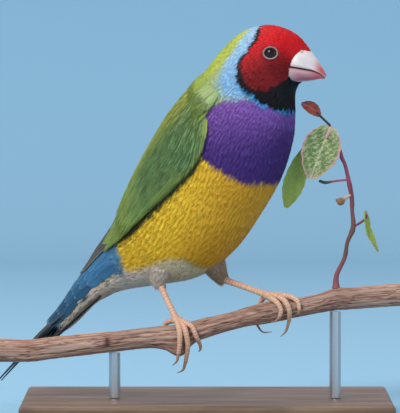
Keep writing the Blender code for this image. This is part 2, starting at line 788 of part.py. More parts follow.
# Thighs, shanks with toes, and claws.
THIGH = {
    "right": [(-9.2, 4.5, 47.5, 5.2), (-10.6, 3.4, 43.6, 4.4), (-11.6, 3.4, 40.2, 2.7),
              (-11.5, 3.4, 38.4, 1.5)],
    "left": [(1.4, 5.0, 47.5, 5.4), (3.2, 6.0, 44.4, 4.4), (4.8, 6.9, 41.4, 2.8),
             (6.0, 7.3, 39.4, 1.5)],
}
for side in ("right", "left"):
    thigh = tube("thigh_" + side, smooth_path(THIGH[side], 8), CREAM, sides=16)
    cut(thigh, body_space)
    largest(thigh)
    ankle = ANKLE[side]
    foot = FOOT[side]
    pieces = []
    down = np.array(foot) - np.array(ankle)
    down /= np.linalg.norm(down)
    path = [
        (*ankle, 1.15),
        tuple(np.array(ankle) + (np.array(foot) - np.array(ankle)) * 0.12) + (0.98,),
        tuple(np.array(ankle) + (np.array(foot) - np.array(ankle)) * 0.5) + (0.84,),
        tuple(np.array(ankle) + (np.array(foot) - np.array(ankle)) * 0.88) + (0.95,),
        (*foot, 1.15),
    ]
    pieces.append(tube("shank", path, sides=8, where=cutters))
    for toe, rows in TOES[side].items():
        line = [(*foot, 1.0)]
        for x, z, radius in rows:
            line.append((x, on_branch(x, z, radius), z, radius))
        pieces.append(tube("toe", smooth_path(line, 9), sides=8, where=cutters))
        end = rows[-1]
        claw = []
        y = on_branch(end[0], end[1], end[2])
        for i, (x, z) in enumerate(CLAWS[side][toe]):
            claw.append((x, y + 0.25 * i, z, (0.46, 0.32, 0.1)[i]))
        tube("claw_" + side + "_" + toe, smooth_path(claw, 6), CLAW, sides=8)
    line = [(*foot, 1.0)] + HIND[side]
    pieces.append(tube("toe", smooth_path(line, 7), sides=8, where=cutters))
    claw = HIND_CLAW[side]
    claw = [(*place, r) for place, r in zip(claw, np.linspace(0.5, 0.12, len(claw)))]
    tube("claw_" + side + "_hind", smooth_path(claw, 6), CLAW, sides=8)
    leg = fused("leg_" + side, pieces, LEG)
    swollen = loft(
        "swollen",
        [branch_ring(x, z, r, 24, GAP + 0.05) for x, z, r in spline(BRANCH, branch_places)],
        where=cutters,
    )
    cut(leg, swollen)
    largest(leg)
    wide = tube("wide_thigh", [(x, y, z, r + GAP) for x, y, z, r in
                               smooth_path(THIGH[side], 8)], sides=16, where=cutters)
    cut(leg, wide)
    largest(leg)
    cut(leg, body_space)
    largest(leg)

# Leafy twig on the branch.
shoots = [tube("shoot", smooth_path(rows, steps), sides=8, where=cutters)
          for rows, steps in ((TWIG, 26), (LEAF_STALK, 6), (OLD_BUD, 6))]
fused("twig", shoots, STEM)


def leaf(name, spine, half, face_turn, look=LEAF, cup=0.25, thick=0.45, where=finch):
    """A thin leaf blade from its stalk to its tip."""
    spine = np.asarray(spine, float)
    rings = []
    steps = 9
    for i in range(steps):
        f = i / (steps - 1)
        place = spline(spine, f * (len(spine) - 1))[0]
        ahead = spline(spine, min(f + 0.05, 1) * (len(spine) - 1))[0]
        behind = spline(spine, max(f - 0.05, 0) * (len(spine) - 1))[0]
        run = (ahead - behind) / np.linalg.norm(ahead - behind)
        look_to = np.array([math.sin(face_turn), -math.cos(face_turn), 0.1])
        across = np.cross(run, look_to)
        across /= np.linalg.norm(across)
        out = np.cross(across, run)
        width = half * (0.08 + 0.92 * math.sin(math.pi * min(f * 0.94 + 0.05, 1)) ** 0.75)
        rings.append([
            place - across * width + out * cup * width,
            place - across * width * 0.5 + out * cup * width * 0.4,
            place,
            place + across * width * 0.5 + out * cup * width * 0.4,
            place + across * width + out * cup * width,
            place + across * width + out * (cup * width - thick),
            place + across * width * 0.5 + out * (cup * width * 0.4 - thick),
            place - out * thick,
            place - across * width * 0.5 + out * (cup * width * 0.4 - thick),
            place - across * width + out * (cup * width - thick),
        ])
    return loft(name, rings, look, where)


def stalked(name, spine, half, face_turn, stalk, look=LEAF):
    """A leaf blade with its own stalk, which ends just short of the twig."""
    blade = leaf(name, spine, half, face_turn, look, where=cutters)
    stem = tube("stalk", smooth_path(stalk, 5), sides=8, where=cutters)
    return fused(name, [blade, stem], look)


stalked(
    "leaf_large",
    [(36.2, -7.0, 81.4), (34.0, -7.2, 76.0), (31.0, -7.2, 68.4)],
    5.0,
    0.0,
    [(36.8, -6.6, 81.9, 0.4), (36.4, -6.9, 81.5, 0.42), (35.4, -7.2, 79.6, 0.4)],
)
stalked(
    "leaf_low",
    [(29.8, -2.6, 76.4), (26.4, -2.2, 67.0), (24.2, -2.0, 59.6)],
    2.7,
    0.3,
    [(37.0, -4.5, 80.3, 0.35), (34.0, -3.4, 79.2, 0.35), (29.2, -2.7, 75.2, 0.35)],
)
stalked(
    "leaf_bud",
    [(33.6, -5.6, 85.6), (31.2, -5.7, 87.8), (28.4, -5.8, 89.0)],
    1.7,
    0.1,
    [(36.3, -5.45, 83.3, 0.35), (34.6, -5.5, 84.6, 0.35), (32.8, -5.75, 86.3, 0.35)],
)
stalked(
    "leaf_side",
    [(46.5, -4.6, 58.9), (47.3, -4.8, 53.2), (50.1, -5.0, 47.5)],
    1.3,
    0.9,
    [(44.2, -4.4, 54.9, 0.35), (46.2, -4.5, 56.4, 0.35), (46.7, -4.75, 57.6, 0.35)],
)

# Stand: a flat base and two short rods.
base = bmesh.new()
bmesh.ops.create_cube(base, size=1.0)
bmesh.ops.scale(base, verts=base.verts, vec=[side * MM for side in BASE_SIZE])
bmesh.ops.translate(
    base,
    verts=base.verts,
    vec=(BASE_AT[0] * MM, BASE_AT[1] * MM, BASE_SIZE[2] * MM / 2),
)
mesh = bpy.data.meshes.new("stand_base")
base.to_mesh(mesh)
base.free()
mesh.materials.append(WOOD)
stand = bpy.data.objects.new("stand_base", mesh)
finch.objects.link(stand)
edge = stand.modifiers.new("edge", "BEVEL")
edge.width = 1.0 * MM
edge.segments = 2
for i, x in enumerate(ROD_X):
    top = min(z for _, _, z in branch_ring(*branch_at(x), 24)) - GAP
    tube(
        f"stand_rod_{i + 1}",
        [(x, BRANCH_Y, BASE_SIZE[2] + GAP, ROD_RADIUS), (x, BRANCH_Y, top, ROD_RADIUS)],
        STEEL,
        sides=20,
    )

for obj in list(cutters.all_objects):
    bpy.data.objects.remove(obj, do_unlink=True)
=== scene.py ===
import bpy
import bmesh
import math
import numpy as np
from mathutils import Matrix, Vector


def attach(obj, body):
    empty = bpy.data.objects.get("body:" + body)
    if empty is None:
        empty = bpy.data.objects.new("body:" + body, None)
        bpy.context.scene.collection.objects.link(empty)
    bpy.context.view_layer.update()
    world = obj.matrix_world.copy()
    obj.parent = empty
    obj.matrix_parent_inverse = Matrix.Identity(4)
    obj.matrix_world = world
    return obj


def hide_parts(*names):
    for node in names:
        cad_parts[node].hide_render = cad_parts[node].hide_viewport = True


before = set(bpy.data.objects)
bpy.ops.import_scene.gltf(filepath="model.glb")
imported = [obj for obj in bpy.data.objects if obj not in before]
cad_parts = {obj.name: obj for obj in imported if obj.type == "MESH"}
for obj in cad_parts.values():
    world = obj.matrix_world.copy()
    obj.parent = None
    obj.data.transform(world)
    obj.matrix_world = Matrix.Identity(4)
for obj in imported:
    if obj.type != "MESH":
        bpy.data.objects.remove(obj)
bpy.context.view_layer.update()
mm = 0.001
dice = np.random.default_rng(11)
scene = bpy.context.scene
print("frame loaded")


# Camera at the photo's angle, floor and soft light
photoView = {"wide": 400, "pxPerMm": 3.55, "away": 1.2, "rise": 2.5, "aimZ": 0.05986}


def setCamera(sizes):
    rise = math.radians(sizes["rise"])
    lens = bpy.data.cameras.new("photoCamera")
    lens.sensor_fit = "HORIZONTAL"
    lens.sensor_width = 36
    lens.lens = 36 * sizes["away"] / (sizes["wide"] / sizes["pxPerMm"] * mm)
    lens.clip_end = 20
    made = bpy.data.objects.new("photoCamera", lens)
    scene.collection.objects.link(made)
    made.location = (0, -sizes["away"] * math.cos(rise), sizes["aimZ"] + sizes["away"] * math.sin(rise))
    made.rotation_euler = (math.radians(90) - rise, 0, 0)
    scene.camera = made


def feed(tree, node, inputs):
    # Each input takes a value, or a link from the socket given for it
    for label, value in inputs.items():
        if isinstance(value, bpy.types.NodeSocket):
            tree.links.new(value, node.inputs[label])
        else:
            node.inputs[label].default_value = value


def addNode(tree, kind, inputs, **settings):
    node = tree.nodes.new(kind)
    for label, value in settings.items():
        setattr(node, label, value)
    feed(tree, node, inputs)
    return node


def newMaterial(name, rough, colour=(0.8, 0.8, 0.8)):
    made = bpy.data.materials.new(name)
    made.use_nodes = True
    shader = made.node_tree.nodes["Principled BSDF"]
    feed(made.node_tree, shader, {"Roughness": rough, "Base Color": (*colour, 1)})
    return made, made.node_tree, shader


lamps = {
    "keyLamp": {"place": (-0.55, -0.75, 0.75), "size": 0.45, "power": 8.0, "colour": (1, 0.985, 0.96)},
    "fillLamp": {"place": (0.8, -0.7, 0.25), "size": 0.8, "power": 1.5, "colour": (0.93, 0.97, 1)},
    "topLamp": {"place": (-0.1, 0.25, 0.95), "size": 0.7, "power": 3.6, "colour": (1, 1, 1)},
}
lampAim = Vector((0, 0, 0.06))


def softLamp(name, sizes):
    lamp = bpy.data.lights.new(name, "AREA")
    lamp.shape = "DISK"
    lamp.size = sizes["size"]
    lamp.energy = sizes["power"]
    lamp.color = sizes["colour"]
    made = bpy.data.objects.new(name, lamp)
    made.location = sizes["place"]
    made.rotation_euler = (lampAim - Vector(sizes["place"])).to_track_quat("-Z", "Y").to_euler()
    scene.collection.objects.link(made)


def makeFloor():
    sizes = {"half": 2.4, "front": -2.4, "bendFrom": 0.78, "bend": 0.16}
    profile = [(sizes["front"], 0.0), (0.3, 0.0), (sizes["bendFrom"], 0.0)]
    for angle in np.linspace(0.1, 1.57, 14):
        profile.append((sizes["bendFrom"] + sizes["bend"] * math.sin(angle),
                        sizes["bend"] * (1 - math.cos(angle))))
    sweep = bmesh.new()
    rows = [[sweep.verts.new((x * sizes["half"], y, z)) for x in (-1, -0.5, 0, 0.5, 1)] for y, z in profile]
    for low, high in zip(rows, rows[1:]):
        for k in range(4):
            sweep.faces.new((low[k], low[k + 1], high[k + 1], high[k]))
    mesh = bpy.data.meshes.new("studioFloor")
    sweep.to_mesh(mesh)
    sweep.free()
    mesh.shade_smooth()
    floor = bpy.data.objects.new("studioFloor", mesh)
    scene.collection.objects.link(floor)
    look, tree, shader = newMaterial("paleFloor", 0.9, (0.31, 0.53, 0.69))
    feed(tree, shader, {"Specular IOR Level": 0.1})
    mesh.materials.append(look)


setCamera(photoView)
scene.view_settings.view_transform = "Standard"
for lampName, lampSizes in lamps.items():
    softLamp(lampName, lampSizes)
makeFloor()
studioWorld = bpy.data.worlds.new("studioWorld")
studioWorld.use_nodes = True
feed(studioWorld.node_tree, studioWorld.node_tree.nodes["Background"],
     {"Color": (0.8, 0.89, 1.0, 1), "Strength": 0.55})
scene.world = studioWorld
print("camera, floor and light made")


# The bird's own measures, the same as in the solids
pose = {"heading": math.radians(36), "placeX": 6.0, "headTurn": math.radians(14), "turnAxis": 8.0}
# Sections from tail end to bill: belly point and back point (forward, up), half width, where it is widest,
# share of the head's turn
bodySections = [
    (-65.8, 17.4, -67.2, 19.6, 2.4, 0.50, 0.0),
    (-53.4, 23.9, -57.6, 28.7, 3.0, 0.50, 0.0),
    (-46.1, 30.1, -50.9, 36.5, 4.0, 0.50, 0.0),
    (-39.2, 33.6, -45.7, 42.2, 5.0, 0.50, 0.0),
    (-32.5, 35.4, -41.0, 47.0, 7.2, 0.50, 0.0),
    (-22.5, 37.0, -34.8, 54.0, 10.6, 0.50, 0.0),
    (-9.4, 39.6, -29.3, 61.8, 14.2, 0.48, 0.0),
    (1.2, 46.6, -24.4, 70.4, 16.6, 0.48, 0.0),
    (9.6, 56.6, -18.4, 79.0, 17.6, 0.48, 0.0),
    (16.6, 67.0, -12.5, 87.0, 17.4, 0.48, 0.0),
    (20.8, 77.5, -6.6, 93.6, 15.8, 0.48, 0.0),
    (22.3, 85.0, -1.6, 100.1, 12.8, 0.48, 0.3),
    (22.5, 88.8, 3.2, 105.5, 10.4, 0.47, 0.7),
    (22.6, 91.0, 8.2, 109.4, 8.8, 0.50, 0.95),
    (23.0, 92.7, 14.4, 111.1, 7.9, 0.53, 1.0),
    (23.8, 94.0, 19.8, 110.2, 6.7, 0.59, 1.0),
    (24.8, 94.8, 24.2, 107.9, 4.6, 0.56, 1.0),
    (26.0, 95.5, 27.9, 103.9, 3.3, 0.50, 1.0),
]
lastSection = len(bodySections) - 1


def splineRows(table, t):
    table = np.asarray(table, float)
    last = len(table) - 1
    t = np.clip(np.atleast_1d(np.asarray(t, float)), 0, last)
    i = np.minimum(t.astype(int), last - 1)
    f = (t - i)[:, None]
    one = table[i]
    two = table[i + 1]
    before = np.where((i > 0)[:, None], table[np.maximum(i - 1, 0)], 2 * one - two)
    after = np.where((i < last - 1)[:, None], table[np.minimum(i + 2, last)], 2 * two - one)
    bend = 2 * before - 5 * one + 4 * two - after
    twist = 3 * one - before - 3 * two + after
    return 0.5 * (2 * one + (two - before) * f + bend * f**2 + twist * f**3)


def smoothPath(rows, steps):
    return splineRows(rows, np.linspace(0, len(rows) - 1, steps))


def birdPlace(forward, left, up, turn=0.0):
    forward = np.asarray(forward, float)
    left = np.asarray(left, float)
    angle = pose["headTurn"] * np.asarray(turn, float)
    ahead = pose["turnAxis"] + (forward - pose["turnAxis"]) * np.cos(angle) - left * np.sin(angle)
    aside = (forward - pose["turnAxis"]) * np.sin(angle) + left * np.cos(angle)
    x = pose["placeX"] + ahead * math.cos(pose["heading"]) + aside * math.sin(pose["heading"])
    y = -ahead * math.sin(pose["heading"]) + aside * math.cos(pose["heading"])
    return np.stack(np.broadcast_arrays(x, y, np.asarray(up, float)), -1)


def bodyPlace(t, phi):
    t, phi = np.broadcast_arrays(np.asarray(t, float), np.radians(np.asarray(phi, float)))
    bellyS, bellyZ, backS, backZ, half, widest, turn = splineRows(bodySections, t.ravel()).T
    angle = phi.ravel()
    share = np.where(np.cos(angle) > 0, 1 - widest, widest) * np.cos(angle) + widest
    place = birdPlace(
        bellyS + (backS - bellyS) * share,
        half * np.sin(angle),
        bellyZ + (backZ - bellyZ) * share,
        np.clip(turn, 0, 1),
    )
    return place.reshape(t.shape + (3,))


def unit(v):
    return v / np.maximum(np.linalg.norm(v, axis=-1, keepdims=True), 1e-9)


def bodyOut(t, phi):
    along = bodyPlace(np.minimum(t + 0.05, lastSection), phi) - bodyPlace(np.maximum(t - 0.05, 0), phi)
    around = bodyPlace(t, phi + 2) - bodyPlace(t, phi - 2)
    return unit(np.cross(along, around))


def bodyRaised(t, phi, height):
    t, phi, height = np.broadcast_arrays(*(np.asarray(v, float) for v in (t, phi, height)))
    return bodyPlace(t, phi) + bodyOut(t, phi) * height[..., None]


# Markings: borders in (section, degrees from the back), mirrored on the far side
maskEdge = [
    (14.05, 0), (13.95, 24), (13.88, 44), (13.65, 57), (13.42, 62), (13.02, 66), (12.58, 72), (12.25, 74),
    (12.12, 82), (12.05, 89), (11.9, 95), (11.82, 107), (12.0, 118), (12.4, 126), (13.25, 132), (14.3, 136),
    (14.73, 138), (16.0, 140), (17.6, 140), (17.6, 0),
]
blackEdge = [
    (13.95, 0), (13.85, 24), (13.73, 42), (13.45, 54), (13.05, 63), (12.52, 67), (12.25, 70), (11.85, 78),
    (11.6, 90), (11.52, 104), (11.48, 119), (11.45, 134), (11.5, 149), (11.62, 165), (11.88, 180),
    (17.6, 180), (17.6, 0),
]
stripeEdge = [
    (13.9, 0), (13.8, 24), (13.65, 42), (13.38, 53), (12.98, 61), (12.45, 65), (12.15, 69), (11.75, 77),
    (11.5, 90), (11.42, 99), (11.33, 121), (11.3, 139), (11.36, 158), (11.6, 180), (17.6, 180), (17.6, 0),
]
bandEdge = [
    (13.45, 0), (13.4, 29), (13.02, 38), (12.75, 46), (12.32, 52), (11.85, 57), (11.5, 63), (11.2, 72),
    (11.0, 84), (11.05, 94), (11.2, 107), (11.3, 121), (11.3, 139), (11.36, 158), (11.6, 180), (17.6, 180),
    (17.6, 0),
]
purpleEdge = [
    (11.15, 107), (10.73, 92), (10.42, 85), (10.23, 82), (10.05, 82), (9.73, 88), (9.45, 92), (9.22, 96),
    (9.1, 102), (9.02, 110), (9.0, 118), (8.98, 128), (8.95, 139), (8.95, 152), (9.0, 165), (9.08, 180),
    (11.75, 180), (11.45, 158), (11.36, 139), (11.37, 121),
]
yellowEdge = [
    (10.2, 86), (9.4, 90), (9.1, 98), (8.6, 97), (8.0, 90), (7.2, 82), (6.4, 76), (5.6, 74), (5.2, 82),
    (5.1, 100), (5.05, 119), (5.2, 124), (5.72, 123), (6.1, 124), (6.48, 132), (6.7, 143), (6.62, 158),
    (6.55, 180), (10.2, 180),
]
rumpEdge = [
    (5.6, 0), (5.5, 30), (5.25, 60), (5.22, 90), (5.12, 102), (4.9, 113), (4.7, 122), (4.45, 114), (4.2, 100),
    (3.9, 97), (3.2, 102), (2.65, 112), (1.9, 118), (1.0, 116), (0.0, 110), (-1.0, 110), (-1.0, 0),
]
# The folded wing's lower and upper borders, from its front to its tip: section and degrees of each
wingEdge = [
    (9.9, -88, 10.4, -30), (9.3, -99, 9.9, -22), (8.6, -100, 9.3, -20), (7.95, -94, 8.6, -20),
    (7.25, -87, 7.9, -20), (6.6, -80, 7.2, -20), (5.95, -76, 6.4, -20), (5.25, -74, 5.6, -20),
    (4.5, -68, 4.8, -22), (3.6, -58, 3.9, -27), (2.5, -50, 2.7, -36),
]
plumage = {
    "mantle": (0.22, 0.31, 0.06),
    "backLow": (0.10, 0.18, 0.05),
    "nape": (0.56, 0.60, 0.09),
    "neckSide": (0.36, 0.48, 0.38),
    "band": (0.27, 0.50, 0.74),
    "bandPale": (0.40, 0.60, 0.78),
    "stripe": (0.06, 0.32, 0.66),
    "black": (0.005, 0.005, 0.007),
    # The red mask's lit red, and a darker red for its painted shade lower on the face
    "maskLit": (0.70, 0.010, 0.014),
    "maskShaded": (0.20, 0.006, 0.008),
    # The purple breast's lit purple, and a darker purple for its painted shade lower down
    "purpleLit": (0.25, 0.10, 0.42),
    "purpleShaded": (0.085, 0.032, 0.20),
    # The belly's lit yellow, and a deeper yellow: painted shade toward the underside, the yellow's own orange
    # tone toward the breast
    "yellow": (1.0, 0.59, 0.035),
    "yellowDeepShaded": (0.88, 0.42, 0.028),
    "cream": (0.86, 0.70, 0.46),
    "white": (0.88, 0.74, 0.63),
    # Painted shadow under the wing's lower edge
    "creviceShadow": (0.10, 0.075, 0.02),
    "rump": (0.12, 0.30, 0.44),
    "covert": (0.05, 0.16, 0.28),
    "under": (0.76, 0.60, 0.47),
}


def insideOf(edge, t, a):
    # Distance in about millimetres to the border, above zero inside
    scale = (6.0, 0.2)
    corners = np.array(edge, float)
    corners[corners[:, 1] >= 180, 1] = 200
    corners[corners[:, 1] <= 0, 1] = -30
    corners = corners * scale
    x = t * scale[0]
    y = a * scale[1]
    nearest = np.full(x.shape, 1e9)
    inside = np.zeros(x.shape, bool)
    for (ax, ay), (bx, by) in zip(corners, np.roll(corners, -1, axis=0)):
        dx = bx - ax
        dy = by - ay
        f = np.clip(((x - ax) * dx + (y - ay) * dy) / max(dx * dx + dy * dy, 1e-9), 0, 1)
        nearest = np.minimum(nearest, np.hypot(x - ax - f * dx, y - ay - f * dy))
        where = ax + (y - ay) / (dy if abs(dy) > 1e-9 else 1e-9) * dx
        inside ^= ((ay > y) != (by > y)) & (x < where)
    return np.where(inside, nearest, -nearest)


def blend(base, over, share):
    base = np.asarray(base, float)
    return base + (np.asarray(over, float) - base) * np.clip(share, 0, 1)[..., None]


def ease(value, low, high):
    f = np.clip((value - low) / (high - low), 0, 1)
    return f * f * (3 - 2 * f)


def plumageColour(t, phi):
    t, phi = np.broadcast_arrays(np.asarray(t, float), np.asarray(phi, float))
    a = np.abs(((phi + 180) % 360) - 180)
    # Painted shade: the yellow deeper and darker toward the underside; toward the breast also its own orange
    # tone
    gold = blend(plumage["yellow"], plumage["yellowDeepShaded"], ease(a + (t - 7) * 7, 105, 160))
    blue = blend(plumage["rump"], plumage["covert"], ease(4.2 - t, 0, 1.2))
    # Painted shade: the purple breast darker lower down
    violet = blend(plumage["purpleLit"], plumage["purpleShaded"], ease(10.9 - t + (a - 110) * 0.012, 0.1, 1.9))
    sky = blend(plumage["bandPale"], plumage["band"], ease(a, 40, 85))
    # Painted shade: the red mask darker toward its lower part
    red = blend(plumage["maskLit"], plumage["maskShaded"], ease(a - (t - 12) * 6, 50, 100))
    # Painted shadow: a dark band on the belly where the wing's lower edge lies over it
    rim = np.array(wingEdge)[::-1]
    apart = a + np.interp(t, rim[:, 0], rim[:, 1])
    shadow = ease(7 - apart, 0, 5) * ease(apart, -16, -8) * ease(t, 5.0, 5.5) * ease(10.0 - t, 0, 0.5)
    look = plumage["mantle"]
    for tint, share in (
        (plumage["backLow"], ease(8.6 - t, 0, 1.5)),
        (plumage["nape"], ease(t, 9.9, 11.4)),
        (plumage["neckSide"], ease(t, 10.0, 11.2) * ease(a, 44, 74)),
        (plumage["cream"], ease(6.6 - t, -0.1, 0.1) * ease(a, 105, 118)),
        (plumage["white"], ease(5.6 - t, -0.3, 0.5) * ease(a, 105, 135)),
        (plumage["under"], ease(3.6 - t, -0.5, 0.5) * ease(a, 100, 112)),
        (gold, ease(insideOf(yellowEdge, t, a), -0.9, 0.5)),
        (plumage["creviceShadow"], shadow),
        (blue, ease(insideOf(rumpEdge, t, a), -0.5, 0.5)),
        (violet, ease(insideOf(purpleEdge, t, a), -0.35, 0.35)),
        (sky, ease(insideOf(bandEdge, t, a), -1.6, 0.7) * ease(112 - a, 0, 10)),
        (plumage["stripe"], ease(insideOf(stripeEdge, t, a), -0.25, 0.25) * ease(a, 80, 95)),
        (plumage["black"], ease(insideOf(blackEdge, t, a), -0.15, 0.25)),
        (red, ease(insideOf(maskEdge, t, a), -0.15, 0.3)),
    ):
        look = blend(look, tint, share)
    return look


def coatDepth(t):
    return 0.3 + 0.12 * ease(13.0 - np.asarray(t, float), 0, 2.5)


# Pieces from points and faces
bakePatch = 0.003  # share of the bake map that one feather takes


def putPiece(name, parts, look, stands=()):
    # Points in mm, faces and tint, then the lie and the bake map's places on a piece that has them
    points, faces, tint, *more = parts
    mesh = bpy.data.meshes.new(name)
    mesh.from_pydata((np.asarray(points, float) * mm).tolist(), [], [list(f) for f in faces])
    layer = mesh.color_attributes.new("tint", "FLOAT_COLOR", "POINT")
    rgba = np.ones((len(points), 4), np.float32)
    rgba[:, :3] = tint
    layer.data.foreach_set("color", rgba.ravel())
    if more:
        layer = mesh.attributes.new("lie", "FLOAT_VECTOR", "POINT")
        layer.data.foreach_set("vector", more[0].astype(np.float32).ravel())
    if len(more) > 1:
        layer = mesh.uv_layers.new(name="OFBake")
        corners = np.empty(len(mesh.loops), np.int32)
        mesh.loops.foreach_get("vertex_index", corners)
        layer.data.foreach_set("uv", more[1][corners].astype(np.float32).ravel())
    mesh.shade_smooth()
    mesh.materials.append(look)
    made = bpy.data.objects.new(name, mesh)
    scene.collection.objects.link(made)
    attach(made, "root")
    if stands:
        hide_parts(*stands)


def turnedOut(rings):
    # True where the tube through these rings shows its faces outward
    middle = len(rings) // 2
    ring = rings[middle]
    ahead = rings[min(middle + 1, len(rings) - 1)].mean(axis=0) - rings[max(middle - 1, 0)].mean(axis=0)
    spin = np.cross(ring - ring.mean(axis=0), np.roll(ring, -1, axis=0) - ring.mean(axis=0)).sum(axis=0)
    return spin @ ahead > 0


def tubeParts(rings, *fields):
    # Points and faces of one closed tube, and its fields carried along
    rings = np.asarray(rings, float)
    fields = [np.asarray(field, float) for field in fields]
    fields = [np.broadcast_to(field, rings.shape[:2] + field.shape[-1:]) for field in fields]
    if not turnedOut(rings):
        rings = rings[:, ::-1]
        fields = [field[:, ::-1] for field in fields]
    count, around = rings.shape[:2]
    faces = []
    for i in range(count - 1):
        for j in range(around):
            a = i * around + j
            b = i * around + (j + 1) % around
            faces.append((a, b, b + around, a + around))
    tail = count * around
    for j in range(around):
        k = (j + 1) % around
        faces.append((tail, k, j))
        faces.append((tail + 1, tail - around + j, tail - around + k))
    full = []
    for field in (rings, *fields):
        ends = [field[0].mean(axis=0), field[-1].mean(axis=0)]
        full.append(np.vstack([field.reshape(-1, field.shape[-1]), *ends]))
    return (full[0], faces, *full[1:])


def joined(parts):
    fields = list(zip(*parts))
    faces = []
    total = 0
    for points, some in zip(fields[0], fields[1]):
        faces += [tuple(i + total for i in face) for face in some]
        total += len(points)
    return (np.vstack(fields[0]), faces, *(np.vstack(field) for field in fields[2:]))


def roundRings(path, sides, squash=1.0):
    path = np.asarray(path, float)
    run = unit(np.gradient(path[:, :3], axis=0))
    side = unit(np.cross(run[0], (0.13, 0.2, 1.0)))
    angles = np.arange(sides) * 2 * math.pi / sides
    aside = np.cos(angles)[:, None]
    aloft = squash * np.sin(angles)[:, None]
    rings = []
    for place, ahead, radius in zip(path[:, :3], run, path[:, 3]):
        side = unit(side - ahead * (side @ ahead))
        rings.append(place + radius * (aside * side + aloft * np.cross(ahead, side)))
    return np.asarray(rings)


def domed(path, steps=4):
    # The path with a rounded end at its last point
    path = [tuple(row) for row in path]
    last = np.array(path[-1])
    run = unit(last[:3] - np.array(path[-2])[:3])
    for angle in np.linspace(0, math.pi / 2, steps + 1)[1:]:
        radius = max(last[3] * math.cos(angle), 0.02)
        path.append((*(last[:3] + run * last[3] * math.sin(angle)), radius))
    return path


# Looks
def objectGrain(tree, size, detail=2.0, stretch=(1, 1, 1), distortion=0.0):
    place = addNode(tree, "ShaderNodeTexCoord", {})
    scaled = addNode(tree, "ShaderNodeMapping", {"Vector": place.outputs["Object"], "Scale": stretch})
    grain = addNode(tree, "ShaderNodeTexNoise", {"Vector": scaled.outputs["Vector"], "Scale": size,
                                                 "Detail": detail, "Distortion": distortion})
    return grain.outputs["Fac"]


def grainedTint(tree, grain, share, shade=1.0):
    # The tint attribute, plain and under a grain that goes from 1 - share to 1 + share
    tint = addNode(tree, "ShaderNodeAttribute", {}, attribute_name="tint")
    wave = addNode(tree, "ShaderNodeMapRange", {"Value": grain, "From Min": 0.3, "From Max": 0.7,
                                                "To Min": 1 - share, "To Max": 1 + share})
    both = addNode(tree, "ShaderNodeMath", {0: shade, 1: wave.outputs["Result"]}, operation="MULTIPLY")
    scaled = addNode(tree, "ShaderNodeVectorMath", {0: tint.outputs["Vector"], "Scale": both.outputs[0]},
                     operation="SCALE")
    return tint.outputs["Color"], scaled.outputs["Vector"]


def addRelief(tree, shader, grain, deep):
    relief = addNode(tree, "ShaderNodeBump", {"Height": grain, "Strength": 1.0, "Distance": deep * mm})
    feed(tree, shader, {"Normal": relief.outputs["Normal"]})


def toneRamp(tree, grain, stops):
    ramp = addNode(tree, "ShaderNodeValToRGB", {"Fac": grain})
    for stop, (position, colour) in zip(ramp.color_ramp.elements, stops):
        stop.position = position
        stop.color = (*colour, 1)
    return ramp.outputs["Color"]


def coatMaterial(name, rough=0.6, rootShade=0.95, tipShade=1.03, sheen=0.12, streak=0.06, barbs=0.0):
    look, tree, shader = newMaterial(name, rough)
    lie = addNode(tree, "ShaderNodeAttribute", {}, attribute_name="lie")
    apart = addNode(tree, "ShaderNodeSeparateXYZ", {0: lie.outputs["Vector"]}).outputs
    shade = addNode(tree, "ShaderNodeMapRange", {"Value": apart["Y"], "From Min": 0.1, "To Min": rootShade,
                                                 "To Max": tipShade})
    if barbs:
        # Fine lines that run out from the shaft toward the feather's tip
        fold = addNode(tree, "ShaderNodeMath", {0: apart["Z"]}, operation="ABSOLUTE")
        lean = addNode(tree, "ShaderNodeMath", {0: fold.outputs[0], 1: -0.35, 2: apart["Y"]},
                       operation="MULTIPLY_ADD")
        line = addNode(tree, "ShaderNodeCombineXYZ", {"X": lean.outputs[0]})
        noise = addNode(tree, "ShaderNodeTexNoise", {"Vector": line.outputs[0], "Scale": barbs, "Detail": 1})
        grain = noise.outputs["Fac"]
    else:
        grain = objectGrain(tree, 1400, 1)
    tint, colour = grainedTint(tree, grain, streak, shade.outputs["Result"])
    feed(tree, shader, {"Base Color": colour, "Sheen Weight": sheen, "Sheen Roughness": 0.4,
                        "Sheen Tint": tint, "Specular IOR Level": 0.2})
    return look


def tintMaterial(name, rough, grainSize, grainShare, bump=0.0, stretch=(1, 1, 1), coat=0.0, skinDeep=0.0,
                 shine=0.5):
    look, tree, shader = newMaterial(name, rough)
    grain = objectGrain(tree, grainSize, 4, stretch)
    colour = grainedTint(tree, grain, grainShare)[1]
    feed(tree, shader, {"Base Color": colour, "Coat Weight": coat, "Specular IOR Level": shine})
    if skinDeep:
        feed(tree, shader, {"Subsurface Weight": 1.0, "Subsurface Radius": (1.0, 0.5, 0.4),
                            "Subsurface Scale": skinDeep * mm})
    if bump:
        addRelief(tree, shader, grain, bump)
    return look


coatLook = coatMaterial("coatPlumage")
skinLook = coatMaterial("skinUnderCoat", rough=0.8, rootShade=0.8, tipShade=0.8, sheen=0.0)
vaneLook = coatMaterial("vanePlumage", rough=0.5, rootShade=0.85, tipShade=1.05, sheen=0.1, streak=0.22,
                        barbs=60)


# Skin under the coat, one closed form from tail root to bill
def makeSkin():
    sizes = {"from": 0.95, "to": 16.95, "rows": 230, "around": 132}
    rows = np.linspace(sizes["from"], sizes["to"], sizes["rows"])
    phi = np.arange(sizes["around"]) * 360.0 / sizes["around"]
    t, angle = np.meshgrid(rows, phi, indexing="ij")
    rings = bodyRaised(t, angle, -coatDepth(t))
    putPiece("birdSkin", tubeParts(rings, plumageColour(t, angle)), skinLook,
             ("head", "neck", "torso", "rump"))


makeSkin()
print("skin made")


# Feathers of the coat: small forms that Geometry Nodes sets out, counted in the order of their names
featherForms = bpy.data.collections.new("featherForms")


